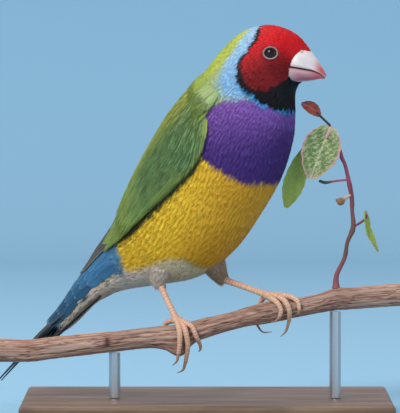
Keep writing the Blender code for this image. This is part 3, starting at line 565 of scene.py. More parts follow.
def makeFeatherForm(name, barbs, spread, fringe, seed):
    # Root at the origin, 1 long along Y and about 1 wide along X
    rng = np.random.default_rng(seed)
    points = []
    faces = []
    lie = []

    def add(x, y, lift=0.0):
        points.append((x, y, 0.02 * math.sin(math.pi * min(y, 1)) - 0.035 * x * x + lift))
        lie.append((x + 0.5, min(y, 1.0)))
        return len(points) - 1

    rows = []
    for y, half in ((0.0, 0.1), (0.25, 0.3), (0.5, 0.42), (0.74, 0.4), (0.9, 0.22)):
        half *= 1 - fringe * 0.3
        rows.append((add(-half, y), add(0.0, y + 0.02, 0.012), add(half, y)))
    for low, high in zip(rows, rows[1:]):
        faces.append((low[0], low[1], high[1], high[0]))
        faces.append((low[1], low[2], high[2], high[1]))
    for side in (-1, 1):
        for i in range(barbs):
            f = (i + 0.5) / barbs
            y = 0.18 + 0.74 * f
            reach = spread * (0.5 * math.sin(math.pi * (0.18 + 0.72 * f)) ** 0.6)
            reach *= 0.9 + 0.2 * rng.random()
            ahead = 0.2 + 0.12 * f + 0.05 * rng.random()
            wide = 0.055 + 0.02 * rng.random()
            inner = side * reach * 0.35
            outer = side * reach * 0.8
            a = add(inner, y, 0.010)
            b = add(inner, y + wide, 0.010)
            c = add(outer, y + ahead * 0.6 + wide * 0.8, 0.007)
            d = add(outer, y + ahead * 0.6, 0.007)
            e = add(side * reach * (0.98 - 0.35 * f), y + ahead + wide * 0.5, -0.006)
            faces.append((a, d, c, b) if side > 0 else (a, b, c, d))
            faces.append((d, e, c) if side > 0 else (d, c, e))
    mesh = bpy.data.meshes.new(name)
    mesh.from_pydata(points, [], faces)
    layer = mesh.attributes.new("lie", "FLOAT2", "CORNER")
    corners = [lie[i] for face in faces for i in face]
    layer.data.foreach_set("vector", np.asarray(corners, np.float32).ravel())
    mesh.shade_smooth()
    featherForms.objects.link(bpy.data.objects.new(name, mesh))


makeFeatherForm("aContour", 8, 1.0, 0.4, 1)
makeFeatherForm("bContour", 9, 1.05, 0.5, 2)
makeFeatherForm("cFace", 5, 1.0, 0.7, 3)
makeFeatherForm("dDown", 9, 1.35, 1.1, 4)


def coatTree():
    tree = bpy.data.node_groups.new("layCoat", "GeometryNodeTree")
    sockets = {}
    for label, kind in (("Roots", "Geometry"), ("Feather Forms", "Collection"), ("Plumage", "Material"),
                        ("Patch Width", "Float")):
        socket = tree.interface.new_socket(label, in_out="INPUT", socket_type="NodeSocket" + kind)
        sockets[label] = socket.identifier
    tree.interface.new_socket("Coat", in_out="OUTPUT", socket_type="NodeSocketGeometry")
    start = addNode(tree, "NodeGroupInput", {}).outputs

    def named(name, kind="FLOAT_VECTOR"):
        node = addNode(tree, "GeometryNodeInputNamedAttribute", {"Name": name}, data_type=kind)
        return node.outputs["Attribute"]

    def vector(operation, inputs):
        return addNode(tree, "ShaderNodeVectorMath", inputs, operation=operation).outputs[0]

    forms = addNode(tree, "GeometryNodeCollectionInfo", {
        "Collection": start["Feather Forms"], "Separate Children": True, "Reset Children": True})
    placed = addNode(tree, "GeometryNodeInstanceOnPoints", {
        "Points": start["Roots"], "Instance": forms.outputs[0], "Pick Instance": True,
        "Instance Index": named("form", "INT"), "Rotation": named("turn"), "Scale": named("size")})
    real = addNode(tree, "GeometryNodeRealizeInstances", {0: placed.outputs["Instances"]})
    centred = vector("SUBTRACT", {0: named("lie"), 1: (0.5, 0.5, 0)})
    small = vector("SCALE", {0: centred, "Scale": start["Patch Width"]})
    moved = vector("ADD", {0: named("rootUv"), 1: small})
    bake = addNode(tree, "GeometryNodeStoreNamedAttribute", {
        "Geometry": real.outputs[0], "Name": "OFBake", "Value": moved}, data_type="FLOAT2", domain="CORNER")
    paint = addNode(tree, "GeometryNodeSetMaterial", {
        "Geometry": bake.outputs[0], "Material": start["Plumage"]})
    addNode(tree, "NodeGroupOutput", {0: paint.outputs[0]})
    return tree, sockets


coatNodes, coatSockets = coatTree()
coatTriangles = []


def layCoat(name, roots, ahead, out, size, tint, form, rootUv):
    # Feathers at the roots (mm), pointing ahead and facing out; size is (wide, long) in mm
    count = len(roots)
    ahead = unit(ahead)
    side = unit(np.cross(ahead, out))
    m = np.stack([side, ahead, np.cross(side, ahead)], axis=-1)
    turn = np.empty((count, 3))
    turn[:, 1] = np.arcsin(np.clip(-m[:, 2, 0], -1, 1))
    turn[:, 0] = np.arctan2(m[:, 2, 1], m[:, 2, 2])
    turn[:, 2] = np.arctan2(m[:, 1, 0], m[:, 0, 0])
    rgba = np.ones((count, 4))
    rgba[:, :3] = tint
    mesh = bpy.data.meshes.new(name + "Roots")
    mesh.from_pydata((roots * mm).tolist(), [], [])
    for label, kind, store, values in (
        ("turn", "FLOAT_VECTOR", "vector", turn),
        ("size", "FLOAT_VECTOR", "vector", size[:, (0, 1, 1)] * mm),
        ("rootUv", "FLOAT_VECTOR", "vector", np.pad(rootUv, ((0, 0), (0, 1)))),
        ("form", "INT", "value", form),
        ("tint", "FLOAT_COLOR", "color", rgba),
    ):
        layer = mesh.attributes.new(label, kind, "POINT")
        layer.data.foreach_set(store, np.asarray(values, np.int32 if kind == "INT" else np.float32).ravel())
    carrier = bpy.data.objects.new(name + "Roots", mesh)
    scene.collection.objects.link(carrier)
    modifier = carrier.modifiers.new("layCoat", "NODES")
    modifier.node_group = coatNodes
    modifier[coatSockets["Feather Forms"]] = featherForms
    modifier[coatSockets["Plumage"]] = coatLook
    modifier[coatSockets["Patch Width"]] = bakePatch
    bpy.context.view_layer.update()
    graph = bpy.context.evaluated_depsgraph_get()
    plain = bpy.data.meshes.new_from_object(carrier.evaluated_get(graph), preserve_all_data_layers=True,
                                            depsgraph=graph)
    bpy.data.objects.remove(carrier, do_unlink=True)
    plain.name = name
    for label in ("turn", "size", "rootUv", "form"):
        if label in plain.attributes:
            plain.attributes.remove(plain.attributes[label])
    plain.shade_smooth()
    made = bpy.data.objects.new(name, plain)
    scene.collection.objects.link(made)
    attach(made, "root")
    coatTriangles.append(sum(len(p.vertices) - 2 for p in plain.polygons))
    print("  coat", name, count, "feathers", coatTriangles[-1], "triangles")


def bodyUv(t, phi):
    share = ((np.asarray(phi) + 180) % 360) / 360
    return np.stack([0.02 + 0.96 * share, 0.02 + 0.96 * np.asarray(t) / lastSection], -1)


coatGap = 1.0


def bodyRoots(low, high, rowGap, sideGap, keep=None):
    # Staggered rows over the body between two sections, as (t, phi)
    rowGap *= coatGap
    sideGap *= coatGap
    found = []
    t = high
    row = 0
    while t > low:
        middle = bodyPlace(np.array([t - 0.02, t + 0.02]), np.array([-90.0, -90.0]))
        perT = np.linalg.norm(middle[1] - middle[0]) / 0.04
        ring = bodyPlace(np.full(73, t), np.arange(73) * 5.0)
        lengths = np.concatenate([[0], np.cumsum(np.linalg.norm(np.diff(ring, axis=0), axis=1))])
        count = max(6, int(lengths[-1] / sideGap))
        at = (np.arange(count) + (0.5 if row % 2 else 0.0) + dice.uniform(-0.28, 0.28, count)) / count
        phi = np.interp((at % 1) * lengths[-1], lengths, np.arange(73) * 5.0)
        tt = t + dice.uniform(-0.35, 0.35, count) * rowGap / perT
        near = bodyPlace(tt + 0.02, phi) - bodyPlace(tt - 0.02, phi)
        take = dice.random(count) < np.clip(np.linalg.norm(near, axis=1) / 0.04 / perT, 0.3, 1.0)
        found.append(np.stack([tt[take], phi[take]], 1))
        t -= rowGap / perT
        row += 1
    found = np.vstack(found)
    found = found[(found[:, 0] > low) & (found[:, 0] < high)]
    if keep is not None:
        found = found[keep(found[:, 0], found[:, 1])]
    return found


def speckled(colour, shine):
    count = len(colour)
    colour = colour * (1 + dice.uniform(-shine, shine, (count, 1)))
    return colour * (1 + dice.uniform(-0.02, 0.02, (count, 3)))


def bodyCoat(name, spots, length, width, form, rootDeep=0.04, sink=None, lift=-0.03, shine=0.03):
    t, phi = spots.T
    length = length * dice.uniform(0.88, 1.12, len(t))
    width = width * dice.uniform(0.9, 1.1, len(t))
    along = np.linalg.norm(bodyPlace(t + 0.03, phi) - bodyPlace(t - 0.03, phi), axis=1) / 0.06
    around = np.linalg.norm(bodyPlace(t, phi + 1) - bodyPlace(t, phi - 1), axis=1) / 2
    tipT = np.maximum(t - length / np.maximum(along, 0.5), -0.5)
    tipPhi = phi + dice.uniform(-1, 1, len(t)) * length * 0.12 / np.maximum(around, 0.02)
    root = bodyRaised(t, phi, -coatDepth(t) - rootDeep if sink is None else sink)
    tip = bodyRaised(np.maximum(tipT, 0), tipPhi, lift - dice.uniform(0, 0.035, len(t)))
    out = bodyOut(np.clip((t + tipT) / 2, 0, lastSection), phi)
    size = np.stack([width, np.linalg.norm(tip - root, axis=1)], 1)
    colour = speckled(plumageColour(t * 0.4 + tipT * 0.6, phi), shine)
    kinds = np.where(dice.random(len(t)) < 0.5, form[0], form[1])
    layCoat(name, root, tip - root, out, size, colour, kinds, bodyUv(t, phi))


eyeSizes = {"t": 14.17, "phi": 86.8, "ball": 2.3, "out": 0.45, "wide": 2.0, "high": 1.68, "clear": 2.3}
# Sections from and to, gap of rows and in a row, length, width, feather forms, slot
coatPieces = {
    "coatNape": (11.3, 13.25, 0.7, 0.62, 2.8, 1.35, (0, 2), "green_plumage"),
    "coatNeck": (9.9, 11.35, 0.82, 0.8, 3.4, 1.8, (0, 1), "green_plumage"),
    "coatBreast": (8.2, 9.95, 0.95, 0.95, 4.0, 2.1, (0, 1), "green_plumage"),
    "coatBelly": (6.6, 8.25, 0.95, 0.9, 4.8, 2.4, (0, 1), "yellow_plumage"),
    "coatFlank": (4.9, 6.65, 1.0, 0.9, 5.0, 2.5, (1, 3), "yellow_plumage"),
    "coatVent": (2.6, 4.95, 1.1, 0.95, 4.6, 2.2, (1, 3), "cream_plumage"),
    "coatUnderTail": (1.2, 2.65, 1.0, 0.8, 5.0, 1.9, (0, 1), "cream_plumage"),
}


def clearOfEye(t, phi):
    a = np.abs(((phi + 180) % 360) - 180)
    away = bodyPlace(t, -a) - bodyPlace(eyeSizes["t"], -eyeSizes["phi"])
    return np.linalg.norm(away, axis=1) > eyeSizes["clear"]


def belowTail(t, phi):
    return np.abs(((phi + 180) % 360) - 180) > 80


def layBodyCoat():
    face = bodyRoots(13.2, 17.0, 0.6, 0.52, clearOfEye)
    grow = ease(17.0 - face[:, 0], 0, 3.5)
    bodyCoat("coatFace", face, 1.3 + 0.9 * grow, 0.8 + 0.5 * grow, (2, 2), rootDeep=0.05)
    for name, (low, high, rowGap, sideGap, length, width, form, slotName) in coatPieces.items():
        roots = bodyRoots(low, high, rowGap, sideGap, belowTail if name == "coatUnderTail" else None)
        bodyCoat(name, roots, length, width, form)


layBodyCoat()
print("body coat laid,", sum(coatTriangles), "triangles")


# Wings, each from a smooth bed, long vanes in tiers and a coat of small coverts
wingTints = {
    "high": (0.38, 0.40, 0.07),
    "middle": (0.22, 0.28, 0.05),
    "teal": (0.09, 0.20, 0.095),
    "edge": (0.34, 0.39, 0.09),
    "quill": (0.10, 0.085, 0.065),
    "quillEdge": (0.36, 0.31, 0.2),
    "gold": (0.55, 0.50, 0.07),
}
vaneShape = [(0.0, 0.4), (0.15, 0.72), (0.35, 0.97), (0.6, 1.0), (0.8, 0.92), (0.92, 0.7), (0.98, 0.38),
             (1.0, 0.1)]
vaneColumns = np.array([-1, -0.86, -0.5, -0.06, 0.06, 0.5, 0.86, 1])


def wingSpot(along, up):
    along, up = np.broadcast_arrays(np.asarray(along, float), np.asarray(up, float))
    row = splineRows(wingEdge, (np.clip(along, 0, 1) * (len(wingEdge) - 1)).ravel())
    t = row[:, 0] + (row[:, 2] - row[:, 0]) * up.ravel()
    phi = row[:, 1] + (row[:, 3] - row[:, 1]) * up.ravel()
    return t.reshape(along.shape), phi.reshape(along.shape)


def wingPlace(along, up, height, sign):
    t, phi = wingSpot(along, up)
    return bodyRaised(t, phi * sign, height)


def wingCrown(along, up):
    edge = np.clip(np.asarray(along) / 0.08, 0, 1)
    hump = np.sqrt(np.clip(1 - (2 * np.asarray(up) - 1) ** 2, 0, 1))
    return 0.35 + 0.5 * edge * (0.3 + 0.7 * hump)


def vaneParts(sheet, thick, tint, edgeTint, edgeSides, rootUv):
    # A thin closed feather from its upper face (rows x columns x 3) and its outward directions
    top, out = sheet
    rows, columns = top.shape[:2]
    arch = (1 - vaneColumns**2)[None, :, None] * 0.06
    ridge = (np.abs(vaneColumns) < 0.1)[None, :, None] * 0.06
    rings = np.concatenate([top + out * (arch + ridge), (top + out * (arch - thick))[:, ::-1]], axis=1)
    f = np.linspace(0, 1, rows)[:, None] * np.ones(columns)[None]
    across = np.ones(rows)[:, None] * vaneColumns[None]
    lie = np.stack([across * 0.5 + 0.5, f, across], -1)
    shade = np.broadcast_to(np.asarray(tint, float), (rows, columns, 3)).copy()
    shade[:, edgeSides] = edgeTint
    shade[-1:] = edgeTint
    shade[:, np.abs(vaneColumns) < 0.1] *= 0.7
    lie = np.concatenate([lie, lie[:, ::-1]], axis=1)
    shade = np.concatenate([shade, shade[:, ::-1]], axis=1)
    return tubeParts(rings, shade, lie, rootUv + (lie[..., :2] - 0.5) * bakePatch)


def vaneWidths(rows):
    places, widths = np.array(vaneShape).T
    return np.interp(np.linspace(0, 1, rows), places, widths)


def wingVane(start, end, half, height, rise, sign, tint, edgeTint, edgeSides, rows=15, thick=0.26):
    f = np.linspace(0, 1, rows)
    along = start[0] + (end[0] - start[0]) * f
    up = start[1] + (end[1] - start[1]) * f
    h = height + rise * f
    nearby = wingPlace(along, up + 0.02, h, sign) - wingPlace(along, up - 0.02, h, sign)
    spread = half * vaneWidths(rows) * 0.04 / np.linalg.norm(nearby, axis=1)
    across = np.clip(up[:, None] + spread[:, None] * vaneColumns[None], 0, 1)
    level = h[:, None] - 0.12 * np.abs(vaneColumns)[None] ** 2
    far = along[:, None] + across * 0
    top = wingPlace(far, across, level, sign)
    out = unit(wingPlace(far, across, level + 0.5, sign) - top)
    t, phi = wingSpot(along[0], up[0])
    return vaneParts((top, out), thick, tint, edgeTint, edgeSides, bodyUv(t, phi * sign))


# Places along the wing and up it, at root and tip, each for a tier's first and last feather
wingTiers = {
    "primary": {"count": 7, "root": (0.48, 0.58), "tip": (0.995, 0.88), "rootUp": (0.10, 0.5),
                "tipUp": (0.40, 0.62), "half": 1.45, "height": 0.72, "step": 0.05, "rise": 0.3,
                "edge": "quillEdge", "edgeSides": [0]},
    "secondary": {"count": 6, "root": (0.38, 0.40), "tip": (0.79, 0.70), "rootUp": (0.02, 0.42),
                  "tipUp": (0.02, 0.40), "half": 1.8, "height": 0.95, "step": 0.07, "rise": 0.05,
                  "edge": "gold", "edgeSides": [0]},
    "tertial": {"count": 4, "root": (0.34, 0.30), "tip": (0.80, 0.60), "rootUp": (0.34, 0.84),
                "tipUp": (0.36, 0.86), "half": 2.8, "height": 1.2, "step": 0.12, "rise": 0.0,
                "edge": "edge", "edgeSides": [0, 7]},
    "greater": {"count": 10, "root": (0.24, 0.24), "tip": (0.52, 0.44), "rootUp": (0.04, 0.94),
                "tipUp": (0.02, 0.92), "half": 2.0, "height": 1.25, "step": 0.03, "rise": 0.05,
                "edge": "edge", "edgeSides": [0, 7]},
}
wingSizes = {"bedRows": 40, "bedColumns": 26, "bedTo": 0.7, "coatFrom": 0.53, "coatRow": 0.021,
             "coatGap": 0.95}


def wingShade(along, up):
    along, up = np.broadcast_arrays(np.asarray(along, float), np.asarray(up, float))
    high = ease(0.32 - along, 0, 0.32) + ease(up, 0.55, 0.95) * 0.7
    teal = ease(0.45 - np.abs(up - 0.3), 0, 0.3) * ease(0.42 - np.abs(along - 0.22), 0, 0.3)
    return blend(blend(wingTints["middle"], wingTints["high"], high), wingTints["teal"], teal * 0.75)


def makeWingBed(side, sign):
    columns = np.linspace(0.02, 1, wingSizes["bedColumns"])
    rows = np.linspace(0.0, wingSizes["bedTo"], wingSizes["bedRows"])
    rings = []
    for along in rows:
        top = wingPlace(along, columns, wingCrown(along, columns) - 0.12, sign)
        rings.append(np.vstack([top, wingPlace(along, columns[::-1], 0.12, sign)]))
    shade = wingShade(rows[:, None], np.concatenate([columns, columns[::-1]])[None])
    putPiece("wingBed_" + side, tubeParts(rings, shade, np.zeros(3)), skinLook,
             ("wing_" + side,))


def tierPlace(sizes, key, f):
    first, last = sizes[key]
    return first + (last - first) * f


def makeWingVanes(side, sign):
    parts = []
    for tier, sizes in wingTiers.items():
        for i in range(sizes["count"]):
            f = i / (sizes["count"] - 1)
            start = [tierPlace(sizes, key, f) for key in ("root", "rootUp")]
            end = [tierPlace(sizes, key, f) for key in ("tip", "tipUp")]
            colour = wingTints["quill"] if tier == "primary" else wingShade(*end)
            colour = np.asarray(colour) * (1 + dice.uniform(-0.08, 0.08))
            parts.append(wingVane(start, end, sizes["half"], sizes["height"] + sizes["step"] * i,
                                  sizes["rise"], sign, colour, wingTints[sizes["edge"]], sizes["edgeSides"]))
    putPiece("wingVanes_" + side, joined(parts), vaneLook)


def layWingCoat(side, sign):
    spots = []
    row = 0
    along = wingSizes["coatFrom"]
    while along > -0.02:
        length = np.linalg.norm(wingPlace(along, 1.0, 1.0, 1) - wingPlace(along, 0.0, 1.0, 1))
        count = int(length / (wingSizes["coatGap"] * coatGap))
        up = (np.arange(count) + 0.5 * (row % 2) + dice.uniform(-0.25, 0.25, count)) / count
        spots.append(np.stack([along + dice.uniform(-0.008, 0.008, count), np.clip(up, 0.0, 1.0)], 1))
        along -= wingSizes["coatRow"] * coatGap
        row += 1
    along, up = np.vstack(spots).T
    count = len(along)
    tipAlong = along + (0.10 + 0.03 * dice.random(count))
    tipUp = np.clip(up - 0.055 + dice.uniform(-0.02, 0.02, count), 0.0, 1.0)
    root = wingPlace(along, up, wingCrown(along, up) - 0.15 + 0.75 * ease(along, 0.3, 0.45), sign)
    tip = wingPlace(tipAlong, tipUp, wingCrown(tipAlong, tipUp) + 0.6 + 0.3 * ease(along, 0.3, 0.5), sign)
    out = unit(wingPlace(along, up, 2.0, sign) - wingPlace(along, up, 1.0, sign))
    size = np.stack([np.full(count, 1.45), np.linalg.norm(tip - root, axis=1)], 1)
    colour = speckled(wingShade((along + tipAlong) / 2, up), 0.28)
    t, phi = wingSpot(along, up)
    layCoat("coatWing_" + side, root, tip - root, out, size, colour,
            np.where(dice.random(count) < 0.5, 0, 1), bodyUv(t, phi * sign))


def layScapulars():
    # Longer feathers from the neck and back that lie over the wings' front and upper edges
    spots = []
    for t in np.arange(10.15, 10.95, 0.1):
        for a in np.arange(14, 82, 2.4):
            spots.append((t + dice.uniform(-0.05, 0.05), a + dice.uniform(-1.2, 1.2)))
    for t in np.arange(5.6, 10.3, 0.09):
        for a in (6.5, 10.5, 14.5, 18.0):
            spots.append((t + dice.uniform(-0.06, 0.06), a + dice.uniform(-1.5, 1.5)))
    spots = np.array(spots)
    spots = np.vstack([spots, spots * (1, -1)])
    bodyCoat("coatScapular", spots, 5.2, 1.9, (0, 1), sink=-0.3, lift=1.05, shine=0.12)


for side, sign in (("right", 1), ("left", -1)):
    makeWingBed(side, sign)
    makeWingVanes(side, sign)
    layWingCoat(side, sign)
layScapulars()
print("wings made,", sum(coatTriangles), "coat triangles")


# Tail: stiff vanes in a stack, blue coverts in tiers, two long middle filaments
tailSizes = {"start": (-50.0, 31.6), "end": (-66.8, 18.4), "pairs": 5, "half": 1.7,
             "outer": ((-41.0, 2.6, 33.4), (-51.0, 2.2, 26.0), (-60.0, 1.9, 19.2)),
             "filament": ((-56.0, 27.4, 0.8), (-65.0, 20.4, 0.6), (-74.0, 12.4, 0.36), (-82.0, 5.2, 0.16))}
tailTints = {"black": (0.012, 0.013, 0.018), "edge": (0.10, 0.085, 0.075), "pale": (0.26, 0.38, 0.52),
             "blue": (0.045, 0.15, 0.27), "filament": (0.05, 0.07, 0.10)}


def freeVane(path, side, up, half, tint, edgeSides, rootUv, rows=14, thick=0.3):
    wide = half * vaneWidths(rows)
    top = smoothPath(path, rows)[:, None] + side * (wide[:, None] * vaneColumns[None])[..., None]
    top = top - up * (0.18 * np.abs(vaneColumns) ** 2)[None, :, None]
    out = np.broadcast_to(up, top.shape)
    return vaneParts((top, out), thick, tint, tailTints["edge"], edgeSides, rootUv)


def bodyVane(start, end, half, height, rise, tint, edgeTint, edgeSides, rows=11, thick=0.22):
    f = np.linspace(0, 1, rows)
    t = start[0] + (end[0] - start[0]) * f
    phi = start[1] + (end[1] - start[1]) * f
    reach = np.linalg.norm(bodyPlace(t, phi + 1) - bodyPlace(t, phi - 1), axis=1) / 2
    angle = phi[:, None] + (half * vaneWidths(rows) / reach)[:, None] * vaneColumns[None]
    level = (height + rise * f)[:, None] - 0.15 * np.abs(vaneColumns)[None] ** 2
    far = t[:, None] + angle * 0
    top = bodyRaised(far, angle, level)
    out = unit(bodyRaised(far, angle, level + 0.5) - top)
    return vaneParts((top, out), thick, tint, edgeTint, edgeSides, bodyUv(t[0], phi[0]))


def makeTailVanes():
    start = np.array(tailSizes["start"])
    end = np.array(tailSizes["end"])
    run = unit(end - start)
    up = birdPlace(-run[1], 0, run[0]) - birdPlace(0, 0, 0)
    up = up if up[2] > 0 else -up
    side = birdPlace(0, 1, 0) - birdPlace(0, 0, 0)
    parts = []
    for i in range(tailSizes["pairs"]):
        for sign in (1, -1):
            path = []
            for f in (0.0, 0.5, 1.0):
                place = start + (end - start) * f * (1.0 - 0.045 * i)
                lateral = sign * (0.35 + 0.42 * i) * (0.8 + 1.0 * f)
                path.append(birdPlace(place[0], lateral, place[1]) + up * (0.9 - 0.42 * i))
            tint = np.array(tailTints["black"]) * dice.uniform(0.8, 1.3)
            parts.append(freeVane(path, side, up, tailSizes["half"], tint, [7] if sign > 0 else [0],
                                  bodyUv(1.5, -sign * 10.0 * i)))
    for sign, high in ((1, 2.4), (-1, 0.0)):
        path = [birdPlace(s, sign * wide, z + high) for s, wide, z in tailSizes["outer"]]
        parts.append(freeVane(path, side, up, 0.9, tailTints["black"], [0], bodyUv(2.0, -sign * 120.0)))
    putPiece("tailVanes", joined(parts), vaneLook, ("tail",))


def makeTailCoverts():
    parts = []
    for tier, t in enumerate(np.arange(4.7, 1.35, -0.42)):
        share = ease(4.6 - t, 0, 3.0)
        for phi in np.arange(-98, 99, 22) + 11 * (tier % 2):
            if abs(phi) > 104:
                continue
            tint = np.array(tailTints["blue"]) * (1.5 - 0.9 * share) * dice.uniform(0.85, 1.15)
            parts.append(bodyVane((t, phi), (t - 1.15, phi * 0.96), 2.3 - 0.9 * share, 0.12, 0.28, tint,
                                  tailTints["pale"], [0, 7]))
    putPiece("tailCoverts", joined(parts), vaneLook)


def makeTailFilaments():
    parts = []
    first, high = tailSizes["filament"][0][:2]
    for sign, reach, apart in ((-1, 1.0, 0.5), (1, 0.93, 1.0)):
        rows = [(*birdPlace(first + (s - first) * reach, sign * apart, high + (z - high) * reach), radius)
                for s, z, radius in tailSizes["filament"]]
        rings = roundRings(domed(smoothPath(rows, 40)), 12)
        f = np.linspace(0, 1, len(rings))[:, None]
        shade = blend(tailTints["black"], tailTints["filament"], f)
        parts.append(tubeParts(rings, shade, np.stack([f * 0, f, f * 0], -1)))
    putPiece("tailFilaments", joined(parts), vaneLook)


makeTailVanes()
makeTailCoverts()
makeTailFilaments()
print("tail made")


# Eyes, bill
lidSizes = {"steps": 48, "flesh": (0.50, 0.31, 0.28), "rim": (0.05, 0.006, 0.006),
            "profile": ((0.84, -0.12), (0.89, 0.06), (0.97, 0.13), (1.07, 0.06), (1.16, -0.2), (1.0, -0.6))}


def eyeAxis(sign):
    # Where the eye's middle lies on the head, and the way it looks
    surface = bodyRaised(eyeSizes["t"], -eyeSizes["phi"] * sign, 0.0)
    return surface, bodyRaised(eyeSizes["t"], -eyeSizes["phi"] * sign, 1.0) - surface


def makeLids():
    parts = []
    steps = lidSizes["steps"]
    wide = len(lidSizes["profile"])
    for sign in (1, -1):
        surface, out = eyeAxis(sign)
        across = unit(np.cross((0.0, 0.0, 1.0), out))
        above = np.cross(out, across)
        rings = []
        shade = []
        for a in np.arange(steps) * 2 * math.pi / steps:
            line = across * math.cos(a) * eyeSizes["wide"] + above * math.sin(a) * eyeSizes["high"]
            rings.append([surface + line * r + out * h for r, h in lidSizes["profile"]])
            tone = np.array(lidSizes["flesh"]) * (0.62 + 0.25 * max(0.0, -math.sin(a)))
            shade.append([tone * 0.5, tone, tone, tone * 0.8, lidSizes["rim"], tone * 0.2])
        points = np.array(rings).reshape(-1, 3)
        faces = []
        for i in range(steps):
            k = (i + 1) % steps
            for j in range(wide):
                m = (j + 1) % wide
                faces.append((i * wide + j, i * wide + m, k * wide + m, k * wide + j))
        a, b, c = (points[f] for f in faces[1][:3])
        if np.cross(b - a, c - a) @ out < 0:
            faces = [tuple(reversed(face)) for face in faces]
        parts.append((points, faces, np.array(shade).reshape(-1, 3)))
    putPiece("eyeLids", joined(parts), tintMaterial("eyeLid", 0.55, 1800, 0.12, bump=0.03))


def dressEye():
    look, tree, shader = newMaterial("darkEye", 0.12, (0.01, 0.007, 0.006))
    depths = ((0.35, (0.004, 0.003, 0.003)), (0.75, (0.03, 0.014, 0.009)))
    feed(tree, shader, {"Base Color": toneRamp(tree, objectGrain(tree, 900), depths),
                        "Specular IOR Level": 0.3})
    for side, sign in (("right", 1), ("left", -1)):
        surface, out = eyeAxis(sign)
        ball = bmesh.new()
        bmesh.ops.create_uvsphere(ball, u_segments=64, v_segments=40, radius=eyeSizes["ball"] * mm)
        centre = (surface - out * (eyeSizes["ball"] - eyeSizes["out"])) * mm
        bmesh.ops.translate(ball, verts=ball.verts, vec=centre)
        mesh = bpy.data.meshes.new("eyeball_" + side)
        ball.to_mesh(mesh)
        ball.free()
        mesh.shade_smooth()
        mesh.materials.append(look)
        made = bpy.data.objects.new("eyeball_" + side, mesh)
        scene.collection.objects.link(made)
        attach(made, "root")
        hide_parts("eye_" + side)


# Bill sections: forward, lower edge, upper edge, half width
billUpper = [
    (22.2, 99.5, 102.4, 4.5), (24.0, 99.4, 104.4, 5.05), (25.9, 99.1, 104.7, 4.85),
    (27.5, 98.8, 103.7, 4.2), (29.2, 98.45, 101.7, 3.15), (30.8, 97.7, 99.5, 1.9), (32.3, 96.55, 97.3, 0.5),
]
billLower = [
    (20.6, 95.9, 99.2, 4.9), (22.4, 95.3, 99.15, 5.15), (24.4, 95.1, 99.0, 4.8), (26.6, 95.3, 98.6, 3.95),
    (28.8, 95.6, 98.2, 2.95), (30.5, 96.0, 97.55, 1.75), (31.9, 95.95, 96.35, 0.5),
]
billTints = {"ivory": (0.80, 0.70, 0.68), "pink": (0.72, 0.42, 0.42), "tip": (0.62, 0.09, 0.11),
             "rose": (0.50, 0.16, 0.19), "edge": (0.25, 0.09, 0.09), "nostril": (0.12, 0.03, 0.03)}


def makeBillHalf(name, table, upper):
    sizes = {"rows": 64, "around": 48, "edgeShare": 0.02, "nostril": (26.4, 3.1, 103.6)}
    nostrilX, nostrilY, nostrilZ = sizes["nostril"]
    blunt = 0.8 if upper else 0.62
    rings = []
    shade = []
    for forward, low, high, half in smoothPath(table, sizes["rows"]):
        middle = low + (high - low) * (sizes["edgeShare"] if upper else 1 - sizes["edgeShare"])
        ring = []
        tones = []
        for a in np.arange(sizes["around"]) * 2 * math.pi / sizes["around"]:
            up = math.cos(a)
            side = half * math.copysign(abs(math.sin(a)) ** blunt, math.sin(a))
            z = middle + (high - middle) * up if up > 0 else middle - (middle - low) * abs(up) ** 0.85
            away = math.hypot((forward - nostrilX) / 0.6, (abs(side) - nostrilY) / 0.5, (z - nostrilZ) / 0.4)
            pit = 0.3 * math.exp(-away**2 * 1.5) if upper else 0.0
            ring.append(birdPlace(forward, side * (1 - pit / max(half, 0.5)), z - pit * 0.6, 1.0))
            if upper:
                tone = blend(billTints["ivory"], billTints["tip"], ease(forward, 29.0, 31.6))
                tone = blend(tone, billTints["pink"], ease(low + 0.55 - z, 0.0, 0.5) * 0.8)
                tone = blend(tone, billTints["nostril"], pit * 3.2)
            else:
                tone = blend(np.array(billTints["ivory"]) * (0.9, 0.72, 0.74), billTints["rose"],
                             ease(high - z, -0.3, 2.2) * ease(forward, 21.5, 26.5))
                tone = blend(tone, billTints["tip"], ease(forward, 27.5, 31.0))
                tone = blend(tone, billTints["edge"], ease(z - high + 0.4, 0.0, 0.4) * 0.5)
            tones.append(tone)
        rings.append(ring)
        shade.append(tones)
    look = tintMaterial(name + "Horn", 0.32, 700, 0.05, bump=0.02, coat=0.2, skinDeep=0.5)
    putPiece("horn_" + name, tubeParts(rings, shade), look, (name,))


def makeMouth():
    # What shows between the two halves of the bill: forward, half width, up
    sizes = {"rows": 20, "around": 16, "thick": 0.32, "flesh": (0.10, 0.02, 0.02)}
    path = [(21.5, 4.0, 99.3), (24.0, 4.35, 99.15), (26.6, 3.55, 98.75), (29.0, 2.4, 98.25),
            (30.8, 1.1, 97.5)]
    angles = np.arange(sizes["around"]) * 2 * math.pi / sizes["around"]
    rings = [birdPlace(forward, half * np.cos(angles), z + sizes["thick"] * np.sin(angles), 1.0)
             for forward, half, z in smoothPath(path, sizes["rows"])]
    putPiece("mouthLine", tubeParts(rings, sizes["flesh"]), tintMaterial("mouthFlesh", 0.6, 900, 0.2))


makeLids()
dressEye()
makeBillHalf("bill_upper", billUpper, True)
makeBillHalf("bill_lower", billLower, False)
makeMouth()
print("eyes and bill made")


